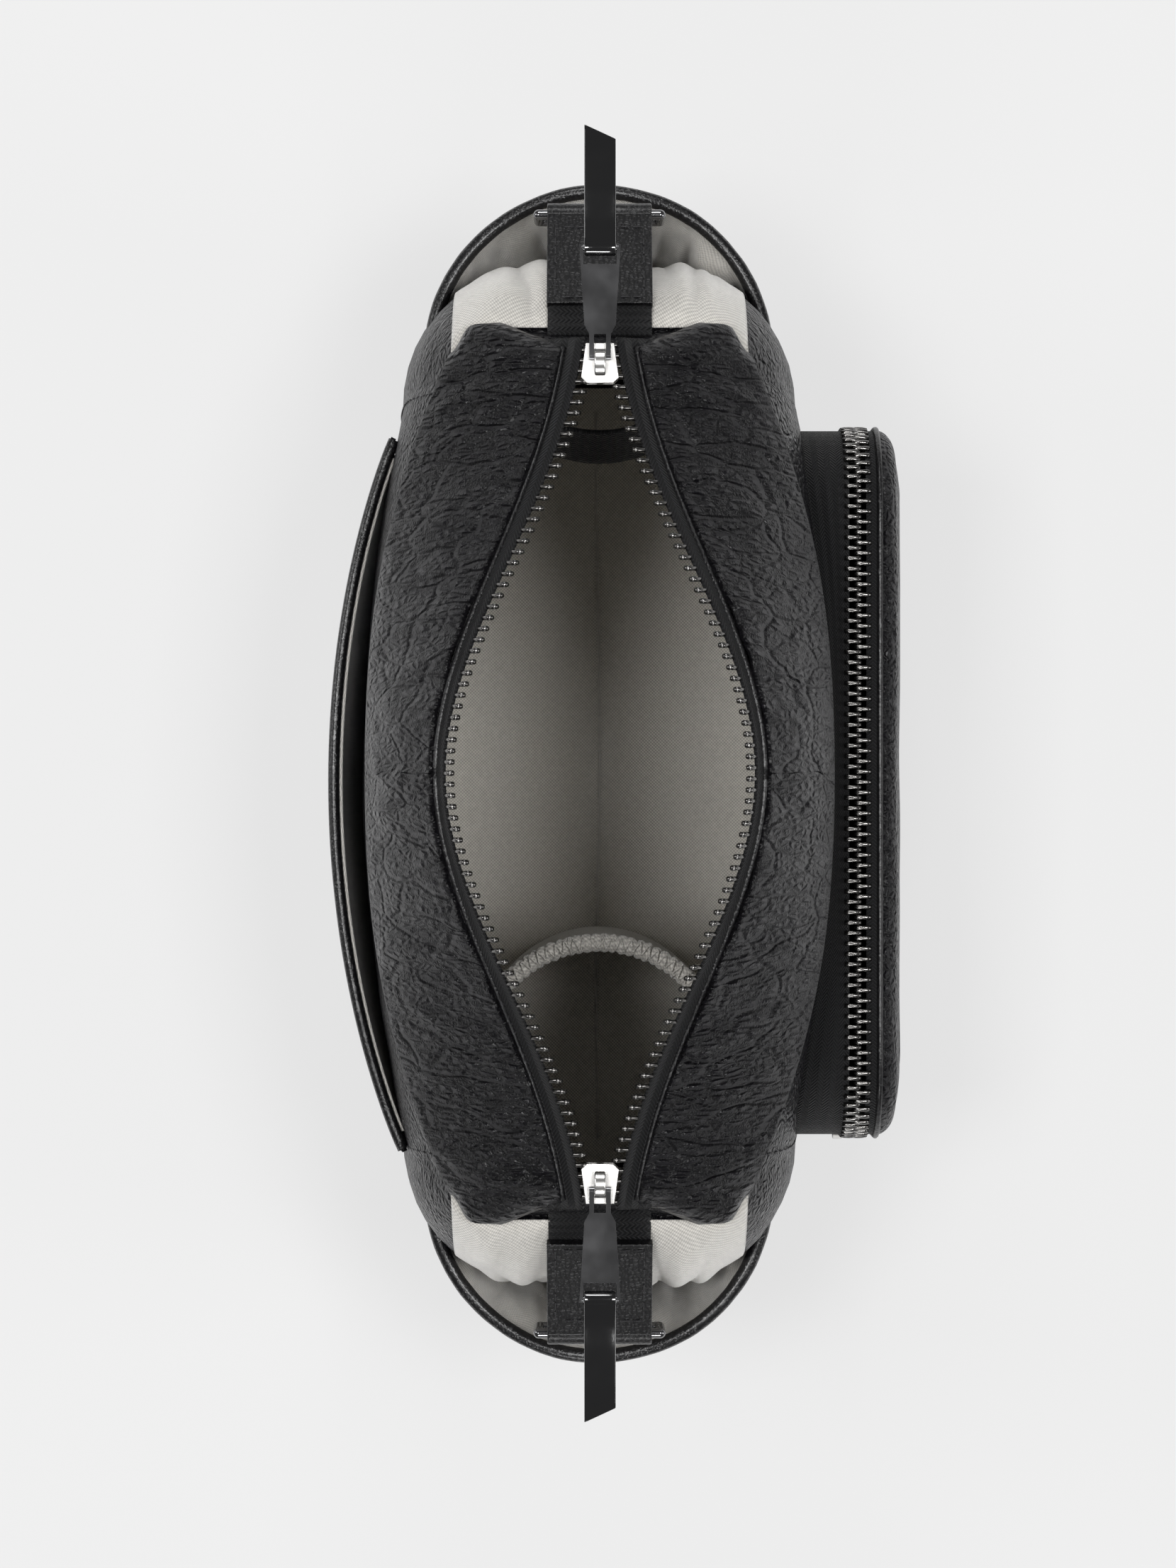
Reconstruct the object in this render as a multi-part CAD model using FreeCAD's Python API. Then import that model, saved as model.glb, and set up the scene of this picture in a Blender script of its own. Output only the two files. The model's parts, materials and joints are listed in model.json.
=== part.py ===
import FreeCAD, Part
import math
import os

os.makedirs("parts", exist_ok=True)

Vector = FreeCAD.Vector

# Driving sizes of the bag, in millimetres. X runs along the bag, the front faces -Y, Z is up.
SHOULDER_HEIGHT = 230.0
SHOULDER_HALF_LENGTH = 125.0
SHOULDER_HALF_DEPTH = 63.0
SHOULDER_END_HALF_DEPTH = 40.0
BODY_HALF_LENGTH = 151.0
BODY_HALF_DEPTH = 69.0
BASE_HALF_LENGTH = 130.0
BASE_HALF_DEPTH = 58.0
LEATHER = 1.8
LINING = 0.9
BASE_BOARD = 4.0
END_SEAM_X = 112.0

# How the body's level outlines change on the way up. A bow is the depth of the curve of the
# front and back between their corners.
SHOULDER_CORNER_INSET = 7.0
END_FLAT_INSET = 9.0
FOOT_CURVE_HEIGHT = 14.0
FOOT_BULGE_LENGTH = 9.0
FOOT_BULGE_DEPTH = 6.0
HIP_INSET_LENGTH = 5.0
HIP_INSET_DEPTH = 2.0
BASE_BOW = 6.0
FOOT_BOW = 5.0
BELLY_BOW = 8.0
CHEST_BOW = 9.0
HIP_BOW = 11.0

# The open mouth. Each half of the top is a flap that turns about its shoulder.
CLOSED_RISE_ANGLE = 17.3
FLAP_SWING = 53.0
SLIDER_X = 113.0
FLAP_FADE_X = 150.0
FLAP_CROWN = 3.0
FLAP_END = 5.0
GABLE_PLAY = 0.3
GABLE_SEAM = 1.0

# The zips. Both chains are of one size.
TOOTH_PITCH = 3.0
TOOTH_LENGTH = 1.4
TOOTH_DEPTH = 3.9
TOOTH_THICK = 2.6
TOOTH_OVERLAP = 1.1
TOOTH_CHAMFER = 0.8
TOOTH_SEAT = 0.05
TAPE_THICK = 0.9
TAPE_SHOW = 6.0
TAPE_HIDDEN = 5.0

# Sliders and pulls.
SLIDER_LENGTH = 11.0
SLIDER_WIDTH = 10.4
SLIDER_NARROW = 7.8
SLIDER_PLATE = 1.4
SLIDER_CHANNEL = 3.8
SLIDER_SLOT = 1.4
SLIDER_WALL = 1.2
SLIDER_POST_WIDTH = 1.6
SLIDER_POST_LENGTH = 3.0
SLIDER_NOTCH = 0.3
SLIDER_CORNER = 1.5
CROWN_WIRE = 1.2
CROWN_WIDTH = 3.0
CROWN_INNER_HEIGHT = 3.6
CROWN_LENGTH = 7.4
CROWN_SHOULDER = 2.0
PIN_RADIUS = 0.9
PIN_PLAY = 0.15
PIN_LIFT = 2.2
PULL_LENGTH = 31.0
PULL_WIDE = 11.4
PULL_NARROW = 8.6
PULL_THICK = 1.6
PULL_EAR = 1.3
PULL_EYE_LENGTH = 6.2
PULL_TAPER = 2.5
PULL_JOIN = 0.5
PULL_DROOP = 1.0
TAB_LENGTH = 32.0
TAB_WIDTH = 8.6
TAB_THICK = 2.4
TAB_SLANT = 4.0
TAB_ROLL_WALL = 1.2
WINDOW_LENGTH = 4.6
WINDOW_WIDTH = 9.2
BAR_RADIUS = 0.9
BAR_PLAY = 0.08

# Side pockets at both ends.
RIM_RADIUS = 51.0
RIM_INSET = 29.0
RIM_HEIGHT = 170.0
POCKET_MIDDLE_INSET = 34.0
POCKET_FOOT_HEIGHT = 12.0
POCKET_FOOT_RADIUS = 48.0
POCKET_FOOT_INSET = 26.0
POCKET_BACK_REACH = 30.0
PIPING_RADIUS = 2.0

# Strap anchors inside the side pockets.
ANCHOR_WIDTH = 30.0
ANCHOR_THICK = 2.6
ANCHOR_TOP_INSET = 0.5
ANCHOR_TOP_LIFT = 1.0
ANCHOR_BAR_STAND = 10.0
ANCHOR_BAR_BELOW = 27.0
WEBBING_THICK = 1.4
WEBBING_SHOW = 9.0
RING_WIRE_RADIUS = 1.5
RING_DROP = 15.0
RING_CLEARANCE = 0.05
ROLL_WALL = 1.7
RING_SIDE_PLAY = 1.0

# Slip pocket on the back.
BACK_POCKET_HALF_LENGTH = 104.0
BACK_POCKET_CENTRE_X = -6.0
BACK_POCKET_TOP = 190.0
BACK_POCKET_FOOT = 22.0
BACK_POCKET_GAP = 8.0
BACK_RIM_RADIUS = 1.5
BACK_END_SAG = 6.0
BACK_FOOT_STAND = 7.5
BACK_TOP_DRAW = 0.5
RIM_PLAY = 0.05

# Zipped pocket on the front.
FRONT_POCKET_RIGHT_X = 101.0
FRONT_POCKET_LEFT_X = -106.0
FRONT_POCKET_TOP = 202.0
FRONT_POCKET_FOOT = 26.0
FRONT_POCKET_CORNER = 26.0
FRONT_FACE_STAND = 19.0
FRONT_STRIP_SINK = 9.0
FRONT_CHAIN_STAND = 5.5
FACE_EDGE_DEPTH = 7.6
FACE_ROUND = 5.0
FACE_SIDE_ROUND = 0.8
FRONT_ZIP_FOOT = 84.0
FRONT_SLIDER_LIFT = 6.5

# Inside the bag.
BOTTLE_RADIUS = 37.0
BOTTLE_CENTRE_X = -88.0
BOTTLE_POCKET_TOP = 150.0
BOTTLE_CLOTH = 1.2
ELASTIC_RADIUS = 2.6
LOOP_TOP = 206.0
LOOP_HEIGHT = 22.0
LOOP_THICK = 1.4
LOOP_REACH_X = 94.0
LOOP_HALF_WIDTH = 36.0
INNER_REACH = 80.0

# Sizes that follow from the ones above.
CLOSED_ANGLE = math.radians(CLOSED_RISE_ANGLE)
SWING = math.radians(FLAP_SWING)
INNER_GAP = LEATHER + LINING
TAPE_EDGE = TOOTH_DEPTH - TOOTH_OVERLAP + TOOTH_SEAT
CORNER_X = SHOULDER_HALF_LENGTH - SHOULDER_CORNER_INSET
END_HALF = SHOULDER_END_HALF_DEPTH - END_FLAT_INSET
RIM_CENTRE_X = BODY_HALF_LENGTH - RIM_INSET
FRONT_FACE_Y = BODY_HALF_DEPTH + FRONT_FACE_STAND
FRONT_STRIP_Y = BODY_HALF_DEPTH - FRONT_STRIP_SINK
FRONT_CHAIN_Y = BODY_HALF_DEPTH + FRONT_CHAIN_STAND
CUT_MARGIN = 1.0
BIG = 400.0


def keep(node, shape):
    shape.exportStep("parts/" + node + ".step")


def mirror_x(shape):
    return shape.mirror(Vector(0, 0, 0), Vector(1, 0, 0))


def mirror_y(shape):
    return shape.mirror(Vector(0, 0, 0), Vector(0, 1, 0))


def box(low, high):
    return Part.makeBox(high[0] - low[0], high[1] - low[1], high[2] - low[2], Vector(*low))


def smooth(t):
    t = min(1.0, max(0.0, t))
    return t * t * (3.0 - 2.0 * t)


# One level outline of the body: straight ends, round corners, bowed front and back.
def body_outline(z, half_length, half_depth, bow, grow):
    a = half_length + grow
    b = half_depth + grow
    cx = CORNER_X
    cy = half_depth - bow + grow
    end_half = END_HALF
    mid_x = cx + (a - cx) * math.sqrt(0.5)
    mid_y = end_half + (cy - end_half) * math.sqrt(0.5)
    edges = []
    edges.append(Part.LineSegment(Vector(a, -end_half, z), Vector(a, end_half, z)))
    edges.append(Part.Arc(Vector(a, end_half, z), Vector(mid_x, mid_y, z), Vector(cx, cy, z)))
    edges.append(Part.Arc(Vector(cx, cy, z), Vector(0, b, z), Vector(-cx, cy, z)))
    edges.append(Part.Arc(Vector(-cx, cy, z), Vector(-mid_x, mid_y, z), Vector(-a, end_half, z)))
    edges.append(Part.LineSegment(Vector(-a, end_half, z), Vector(-a, -end_half, z)))
    edges.append(Part.Arc(Vector(-a, -end_half, z), Vector(-mid_x, -mid_y, z), Vector(-cx, -cy, z)))
    edges.append(Part.Arc(Vector(-cx, -cy, z), Vector(0, -b, z), Vector(cx, -cy, z)))
    edges.append(Part.Arc(Vector(cx, -cy, z), Vector(mid_x, -mid_y, z), Vector(a, -end_half, z)))
    return Part.Wire([edge.toShape() for edge in edges])


# The body's filled form, from the base to the shoulder, grown or drawn in by one amount.
def body_form(grow):
    shoulder_bow = SHOULDER_HALF_DEPTH - SHOULDER_END_HALF_DEPTH
    foot_length = BASE_HALF_LENGTH + FOOT_BULGE_LENGTH
    hip_length = BODY_HALF_LENGTH - HIP_INSET_LENGTH
    levels = [
        (0.0, BASE_HALF_LENGTH, BASE_HALF_DEPTH, BASE_BOW),
        (FOOT_CURVE_HEIGHT, foot_length, BASE_HALF_DEPTH + FOOT_BULGE_DEPTH, FOOT_BOW),
        (SHOULDER_HEIGHT * 0.45, BODY_HALF_LENGTH, BODY_HALF_DEPTH, BELLY_BOW),
        (SHOULDER_HEIGHT * 0.75, BODY_HALF_LENGTH, BODY_HALF_DEPTH, CHEST_BOW),
        (SHOULDER_HEIGHT * 0.89, hip_length, BODY_HALF_DEPTH - HIP_INSET_DEPTH, HIP_BOW),
        (SHOULDER_HEIGHT, SHOULDER_HALF_LENGTH, SHOULDER_HALF_DEPTH, shoulder_bow),
    ]
    wires = [body_outline(*level, grow) for level in levels]
    return Part.makeLoft(wires, True, False)


body_outer = body_form(0.0)
body_inner = body_form(-LEATHER)
lining_inner = body_form(-INNER_GAP)


# Leather body: a stiff base, a front, a back and two ends, parted at the four seams.
def make_body_panels():
    base_box = box((-BIG, -BIG, 0.0), (BIG, BIG, BASE_BOARD))
    keep("base_panel", body_outer.common(base_box))
    wall = body_outer.cut(body_inner)
    wall = wall.cut(base_box)
    keep("front_panel", wall.common(box((-END_SEAM_X, -BIG, 0.0), (END_SEAM_X, 0.0, BIG))))
    keep("back_panel", wall.common(box((-END_SEAM_X, 0.0, 0.0), (END_SEAM_X, BIG, BIG))))
    keep("end_panel_right", wall.common(box((END_SEAM_X, -BIG, 0.0), (BIG, BIG, BIG))))
    keep("end_panel_left", wall.common(box((-BIG, -BIG, 0.0), (-END_SEAM_X, BIG, BIG))))


# Woven lining: one skin on the walls and one on the floor.
def make_main_lining():
    above_board = box((-BIG, -BIG, BASE_BOARD), (BIG, BIG, BIG))
    skin = body_inner.cut(lining_inner).common(above_board)
    floor_box = box((-BIG, -BIG, BASE_BOARD), (BIG, BIG, BASE_BOARD + LINING))
    floor = lining_inner.common(floor_box)
    keep("lining_walls", skin)
    keep("lining_floor", floor)


# Half depth of the shoulder line at one place along the bag.
def shoulder_y(x):
    sag = SHOULDER_HALF_DEPTH - SHOULDER_END_HALF_DEPTH
    radius = (CORNER_X ** 2 + sag ** 2) / (2.0 * sag)
    reach = min(abs(x), CORNER_X)
    return SHOULDER_HALF_DEPTH - radius + math.sqrt(radius ** 2 - reach ** 2)


def flap_weight(x):
    return smooth((FLAP_FADE_X - abs(x)) / FLAP_FADE_X)


# A point of the back flap: `back` is the distance from the zip's centre line down the flap,
# `lift` the height over the flap's underside.
def flap_point(x, back, lift):
    foot_p = SHOULDER_HALF_DEPTH - shoulder_y(x)
    edge_p = SHOULDER_HALF_DEPTH
    edge_q = SHOULDER_HALF_DEPTH * math.tan(CLOSED_ANGLE)
    slope = math.atan2(edge_q, edge_p - foot_p)
    p = edge_p - back * math.cos(slope) - lift * math.sin(slope)
    q = edge_q - back * math.sin(slope) + lift * math.cos(slope)
    turn = SWING * flap_weight(x)
    out_p = p * math.cos(turn) - q * math.sin(turn)
    out_q = p * math.sin(turn) + q * math.cos(turn)
    return Vector(x, SHOULDER_HALF_DEPTH - out_p, SHOULDER_HEIGHT + out_q)


# Length of the flap from the shoulder line to the zip's centre line.
def flap_length(x):
    rise = SHOULDER_HALF_DEPTH * math.tan(CLOSED_ANGLE)
    return math.hypot(shoulder_y(x), rise)


def flap_stations(end_x):
    fractions = [-1.0, -0.9, -0.76, -0.58, -0.38, -0.19, 0.0, 0.19, 0.38, 0.58, 0.76, 0.9, 1.0]
    return [end_x * fraction for fraction in fractions]


# A sheet of the back flap between two distances from the zip's centre line.
def flap_sheet(end_x, near, far, low, high, crown):
    wires = []
    for x in flap_stations(end_x):
        foot = flap_length(x) if far is None else far
        middle = (near + foot) / 2.0
        a = flap_point(x, foot, low)
        b = flap_point(x, near, low)
        c = flap_point(x, near, high)
        d = flap_point(x, foot, high)
        lower = Part.Arc(a, flap_point(x, middle, low + crown), b) if crown else Part.LineSegment(a, b)
        upper = Part.Arc(c, flap_point(x, middle, high + crown), d) if crown else Part.LineSegment(c, d)
        edges = [lower, Part.LineSegment(b, c), upper, Part.LineSegment(d, a)]
        wires.append(Part.Wire([edge.toShape() for edge in edges]))
    return Part.makeLoft(wires, True, False)


# One tooth of the open zip: a block with a chamfered head, seated on the tape's edge.
def flap_tooth(x):
    half = TOOTH_LENGTH / 2.0
    low = -TAPE_THICK / 2.0 - TOOTH_THICK / 2.0
    high = low + TOOTH_THICK
    root = TAPE_EDGE - TOOTH_SEAT
    head = root - TOOTH_DEPTH
    profile = [
        (root, low),
        (head + TOOTH_CHAMFER, low),
        (head, low + TOOTH_CHAMFER),
        (head, high - TOOTH_CHAMFER),
        (head + TOOTH_CHAMFER, high),
        (root, high),
    ]
    points = [flap_point(x, back, lift) for back, lift in profile]
    points = [Vector(x - half, point.y, point.z) for point in points]
    face = Part.Face(Part.makePolygon(points + [points[0]]))
    return face.extrude(Vector(TOOTH_LENGTH, 0, 0))


# Where the slider rests: the flap edges' height over its place.
def slider_height():
    return flap_point(SLIDER_X, 0.0, 0.0).z


def make_flaps():
    end_x = SHOULDER_HALF_LENGTH - FLAP_END
    tape_far = TAPE_EDGE + TAPE_SHOW + TAPE_HIDDEN
    leather = flap_sheet(end_x, TAPE_EDGE + TAPE_SHOW, None, 0.0, LEATHER, FLAP_CROWN)
    tape = flap_sheet(end_x, TAPE_EDGE, tape_far, -TAPE_THICK, 0.0, 0.0)
    lining_near = TAPE_EDGE + TAPE_SHOW
    lining_far = flap_length(end_x) - 2.0 * INNER_GAP
    lining = flap_sheet(end_x, lining_near, lining_far, -TAPE_THICK - LINING, -TAPE_THICK, 0.0)
    notch_half = SLIDER_LENGTH / 2.0 + SLIDER_NOTCH
    notch_y = SLIDER_WIDTH / 2.0 + SLIDER_NOTCH
    for side in (-1.0, 1.0):
        low = (side * SLIDER_X - notch_half, -notch_y, 0.0)
        high = (side * SLIDER_X + notch_half, notch_y, BIG)
        tape = tape.cut(box(low, high))
    count = int((SLIDER_X - SLIDER_LENGTH / 2.0 - SLIDER_NOTCH) / TOOTH_PITCH)
    back_row = [flap_tooth(i * TOOTH_PITCH) for i in range(-count, count + 1)]
    front_row = [flap_tooth((i + 0.5) * TOOTH_PITCH) for i in range(-count, count)]
    teeth_back = Part.makeCompound(back_row)
    teeth_front = mirror_y(Part.makeCompound(front_row))
    keep("top_panel_back", leather)
    keep("top_panel_front", mirror_y(leather))
    keep("zip_tape_back", tape)
    keep("zip_tape_front", mirror_y(tape))
    keep("top_lining_back", lining)
    keep("top_lining_front", mirror_y(lining))
    keep("zip_teeth_back", teeth_back)
    keep("zip_teeth_front", teeth_front)


# The leather gable that closes each end of the top, from the shoulder up to the zip's end.
def make_end_gables():
    foot_x = SHOULDER_HALF_LENGTH - LEATHER
    end_x = SHOULDER_HALF_LENGTH - FLAP_END
    top_x = end_x + GABLE_PLAY
    foot_half = END_HALF
    side = flap_point(end_x, flap_length(end_x), LEATHER)
    peak = flap_point(end_x, 0.0, 0.0)
    lean = (foot_x - top_x) / (peak.z - SHOULDER_HEIGHT)
    side_x = foot_x - lean * (side.z - SHOULDER_HEIGHT)
    points = [
        Vector(foot_x, -foot_half, SHOULDER_HEIGHT),
        Vector(foot_x, foot_half, SHOULDER_HEIGHT),
        Vector(side_x, side.y - GABLE_SEAM, side.z),
        Vector(top_x, peak.y, peak.z),
        Vector(top_x, -peak.y, peak.z),
        Vector(side_x, GABLE_SEAM - side.y, side.z),
    ]
    face = Part.Face(Part.makePolygon(points + [points[0]]))
    gable = face.extrude(Vector(LEATHER, 0, 0)).cut(body_outer)
    keep("end_gable_right", gable)
    keep("end_gable_left", mirror_x(gable))
    return gable


# A slider lying level at the origin: +X is its narrow, closed side, +Z its crowned side.
def slider_at_origin():
    half = SLIDER_LENGTH / 2.0
    wide = SLIDER_WIDTH / 2.0
    narrow = SLIDER_NARROW / 2.0
    channel = SLIDER_CHANNEL / 2.0
    corner = SLIDER_CORNER
    outline = [(-half, -wide + corner), (-half + corner, -wide), (half, -narrow), (half, narrow),
               (-half + corner, wide), (-half, wide - corner)]
    points = [Vector(x, y, -channel - SLIDER_PLATE) for x, y in outline]
    face = Part.Face(Part.makePolygon(points + [points[0]]))
    block = face.extrude(Vector(0, 0, SLIDER_CHANNEL + 2.0 * SLIDER_PLATE))
    beyond = half + CUT_MARGIN
    inner = [(-beyond, -wide + SLIDER_WALL), (beyond, -narrow + SLIDER_WALL),
             (beyond, narrow - SLIDER_WALL), (-beyond, wide - SLIDER_WALL)]
    points = [Vector(x, y, -channel) for x, y in inner]
    hollow = Part.Face(Part.makePolygon(points + [points[0]])).extrude(Vector(0, 0, SLIDER_CHANNEL))
    side = wide + CUT_MARGIN
    slot = box((-beyond, -side, -SLIDER_SLOT / 2.0), (beyond, side, SLIDER_SLOT / 2.0))
    post_low = (-half, -SLIDER_POST_WIDTH / 2.0, -channel)
    post_high = (-half + SLIDER_POST_LENGTH, SLIDER_POST_WIDTH / 2.0, channel)
    return block.cut(hollow).cut(slot).fuse(box(post_low, post_high))


# The crown bridges the slider's top and holds the pull.
def crown_at_origin():
    half = CROWN_LENGTH / 2.0
    foot = SLIDER_CHANNEL / 2.0 + SLIDER_PLATE
    top = foot + CROWN_INNER_HEIGHT + CROWN_WIRE
    shoulder = top - CROWN_SHOULDER
    outer = [Vector(-half, 0, foot), Vector(-half, 0, shoulder), Vector(0, 0, top),
             Vector(half, 0, shoulder), Vector(half, 0, foot)]
    inner_half = half - CROWN_WIRE
    inner_top = foot + CROWN_INNER_HEIGHT
    inner_shoulder = inner_top - CROWN_WIRE
    inner = [Vector(inner_half, 0, foot), Vector(inner_half, 0, inner_shoulder), Vector(0, 0, inner_top),
             Vector(-inner_half, 0, inner_shoulder), Vector(-inner_half, 0, foot)]
    edges = [
        Part.LineSegment(outer[0], outer[1]),
        Part.Arc(outer[1], outer[2], outer[3]),
        Part.LineSegment(outer[3], outer[4]),
        Part.LineSegment(outer[4], inner[0]),
        Part.LineSegment(inner[0], inner[1]),
        Part.Arc(inner[1], inner[2], inner[3]),
        Part.LineSegment(inner[3], inner[4]),
        Part.LineSegment(inner[4], outer[0]),
    ]
    wire = Part.Wire([edge.toShape() for edge in edges])
    crown = Part.Face(wire).extrude(Vector(0, CROWN_WIDTH, 0))
    crown.translate(Vector(0, -CROWN_WIDTH / 2.0, 0))
    return crown


def pin_place():
    x = CROWN_LENGTH / 2.0 - CROWN_WIRE - PIN_RADIUS - PIN_PLAY
    z = SLIDER_CHANNEL / 2.0 + SLIDER_PLATE + PIN_LIFT
    return Vector(x, 0, z)


def rod_y(radius, half, x, z):
    return Part.makeCylinder(radius, 2.0 * half, Vector(x, -half, z), Vector(0, 1, 0))


# The metal pull, its pin at the origin, lying level along +X.
def pull_at_origin():
    ear_inner = CROWN_WIDTH / 2.0 + PIN_PLAY
    ear_outer = ear_inner + PULL_EAR
    half_thick = PULL_THICK / 2.0
    pin = rod_y(PIN_RADIUS, ear_outer, 0.0, 0.0)
    ear_high = box((0.0, ear_inner, -half_thick), (PULL_EYE_LENGTH + PULL_JOIN, ear_outer, half_thick))
    ear_low = mirror_y(ear_high)
    narrow = PULL_NARROW / 2.0
    wide = PULL_WIDE / 2.0
    taper = PULL_EYE_LENGTH + PULL_TAPER
    outline = [(PULL_EYE_LENGTH, -ear_outer), (taper, -narrow), (PULL_LENGTH, -wide),
               (PULL_LENGTH, wide), (taper, narrow), (PULL_EYE_LENGTH, ear_outer)]
    points = [Vector(x, y, -half_thick) for x, y in outline]
    plate = Part.Face(Part.makePolygon(points + [points[0]])).extrude(Vector(0, 0, PULL_THICK))
    window_low = (PULL_LENGTH - WINDOW_LENGTH - BAR_RADIUS, -WINDOW_WIDTH / 2.0, -PULL_THICK)
    window_high = (PULL_LENGTH + CUT_MARGIN, WINDOW_WIDTH / 2.0, PULL_THICK)
    plate = plate.cut(box(window_low, window_high))
    bar = rod_y(BAR_RADIUS, WINDOW_WIDTH / 2.0 + PULL_JOIN, PULL_LENGTH - BAR_RADIUS, 0.0)
    return plate.fuse(pin).fuse(ear_high).fuse(ear_low).fuse(bar).removeSplitter()


# The folded patent tab, looped round the bar in the pull's window, its bar at the origin.
def tab_at_origin():
    bore = BAR_RADIUS + BAR_PLAY
    roll = rod_y(bore + TAB_ROLL_WALL, TAB_WIDTH / 2.0, 0.0, 0.0)
    half = TAB_WIDTH / 2.0
    outline = [(0.0, -half), (TAB_LENGTH - TAB_SLANT, -half), (TAB_LENGTH, half), (0.0, half)]
    points = [Vector(x, y, -TAB_THICK / 2.0) for x, y in outline]
    strip = Part.Face(Part.makePolygon(points + [points[0]])).extrude(Vector(0, 0, TAB_THICK))
    return roll.fuse(strip).cut(rod_y(bore, TAB_WIDTH, 0.0, 0.0))


# Puts the pieces of one slider in place: `turns` set which way it faces, `droop` how its pull hangs.
def place_slider(prefix, centre, turns, droop):
    pin = pin_place()
    bar = Vector(PULL_LENGTH - BAR_RADIUS, 0, 0)
    pull = pull_at_origin()
    tab = tab_at_origin()
    tab.translate(bar)
    for shape in (pull, tab):
        shape.rotate(Vector(0, 0, 0), Vector(0, 1, 0), droop)
        shape.translate(pin)
    pieces = {"slider": slider_at_origin(), "crown": crown_at_origin(), "pull": pull, "pull_tab": tab}
    for name, shape in pieces.items():
        for axis, angle in turns:
            shape.rotate(Vector(0, 0, 0), axis, angle)
        shape.translate(centre)
        keep(prefix + "_" + name, shape)


def make_sliders():
    up = Vector(0, 0, 1)
    place_slider("right", Vector(SLIDER_X, 0, slider_height()), [], PULL_DROOP)
    place_slider("left", Vector(-SLIDER_X, 0, slider_height()), [(up, 180.0)], PULL_DROOP)
    slider_z = FRONT_ZIP_FOOT + FRONT_SLIDER_LIFT
    side_x = FRONT_POCKET_LEFT_X
    centre = Vector(side_x + TAPE_THICK / 2.0, -FRONT_CHAIN_Y, slider_z)
    place_slider("front", centre, [(Vector(0, 1, 0), -90.0)], 180.0)


# A level D: a half round towards +X closed by a straight line behind it.
def d_outline(centre_x, radius, z):
    back_x = centre_x - POCKET_BACK_REACH
    a = Vector(back_x, -radius, z)
    b = Vector(centre_x, -radius, z)
    c = Vector(centre_x, radius, z)
    d = Vector(back_x, radius, z)
    edges = [
        Part.LineSegment(a, b),
        Part.Arc(b, Vector(centre_x + radius, 0, z), c),
        Part.LineSegment(c, d),
        Part.LineSegment(d, a),
    ]
    return Part.Wire([edge.toShape() for edge in edges])


# The filled form of a side pocket, drawn in by one amount.
def side_pocket_form(inset):
    middle = (POCKET_FOOT_HEIGHT + RIM_HEIGHT) / 2.0
    middle_x = BODY_HALF_LENGTH - POCKET_MIDDLE_INSET
    middle_radius = (POCKET_FOOT_RADIUS + RIM_RADIUS) / 2.0
    foot_x = BASE_HALF_LENGTH - POCKET_FOOT_INSET
    wires = [
        d_outline(foot_x, POCKET_FOOT_RADIUS - inset, POCKET_FOOT_HEIGHT),
        d_outline(middle_x, middle_radius - inset, middle),
        d_outline(RIM_CENTRE_X, RIM_RADIUS - inset, RIM_HEIGHT),
    ]
    return Part.makeLoft(wires, True, False)


def above(z):
    return box((-BIG, -BIG, z), (BIG, BIG, BIG))


def make_side_pockets():
    rim_major = RIM_RADIUS - INNER_GAP / 2.0
    rim_centre = Vector(RIM_CENTRE_X, 0, RIM_HEIGHT)
    rim = Part.makeTorus(rim_major, PIPING_RADIUS, rim_centre)
    rim = rim.common(box((RIM_CENTRE_X, -BIG, 0), (BIG, BIG, BIG))).cut(body_outer)
    outer = side_pocket_form(0.0)
    inner = side_pocket_form(LEATHER).common(above(POCKET_FOOT_HEIGHT + LEATHER))
    hollow = side_pocket_form(INNER_GAP).common(above(POCKET_FOOT_HEIGHT + INNER_GAP))
    beyond = box((END_SEAM_X, -BIG, 0), (BIG, BIG, BIG))
    panel = outer.cut(inner).cut(body_outer).cut(rim).common(beyond)
    lining = inner.cut(hollow.cut(body_form(LINING))).cut(body_outer).cut(rim).common(beyond)
    pieces = {"side_pocket_panel": panel, "side_pocket_lining": lining, "side_pocket_piping": rim}
    for name, shape in pieces.items():
        keep(name + "_right", shape)
        keep(name + "_left", mirror_x(shape))
    return lining


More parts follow.
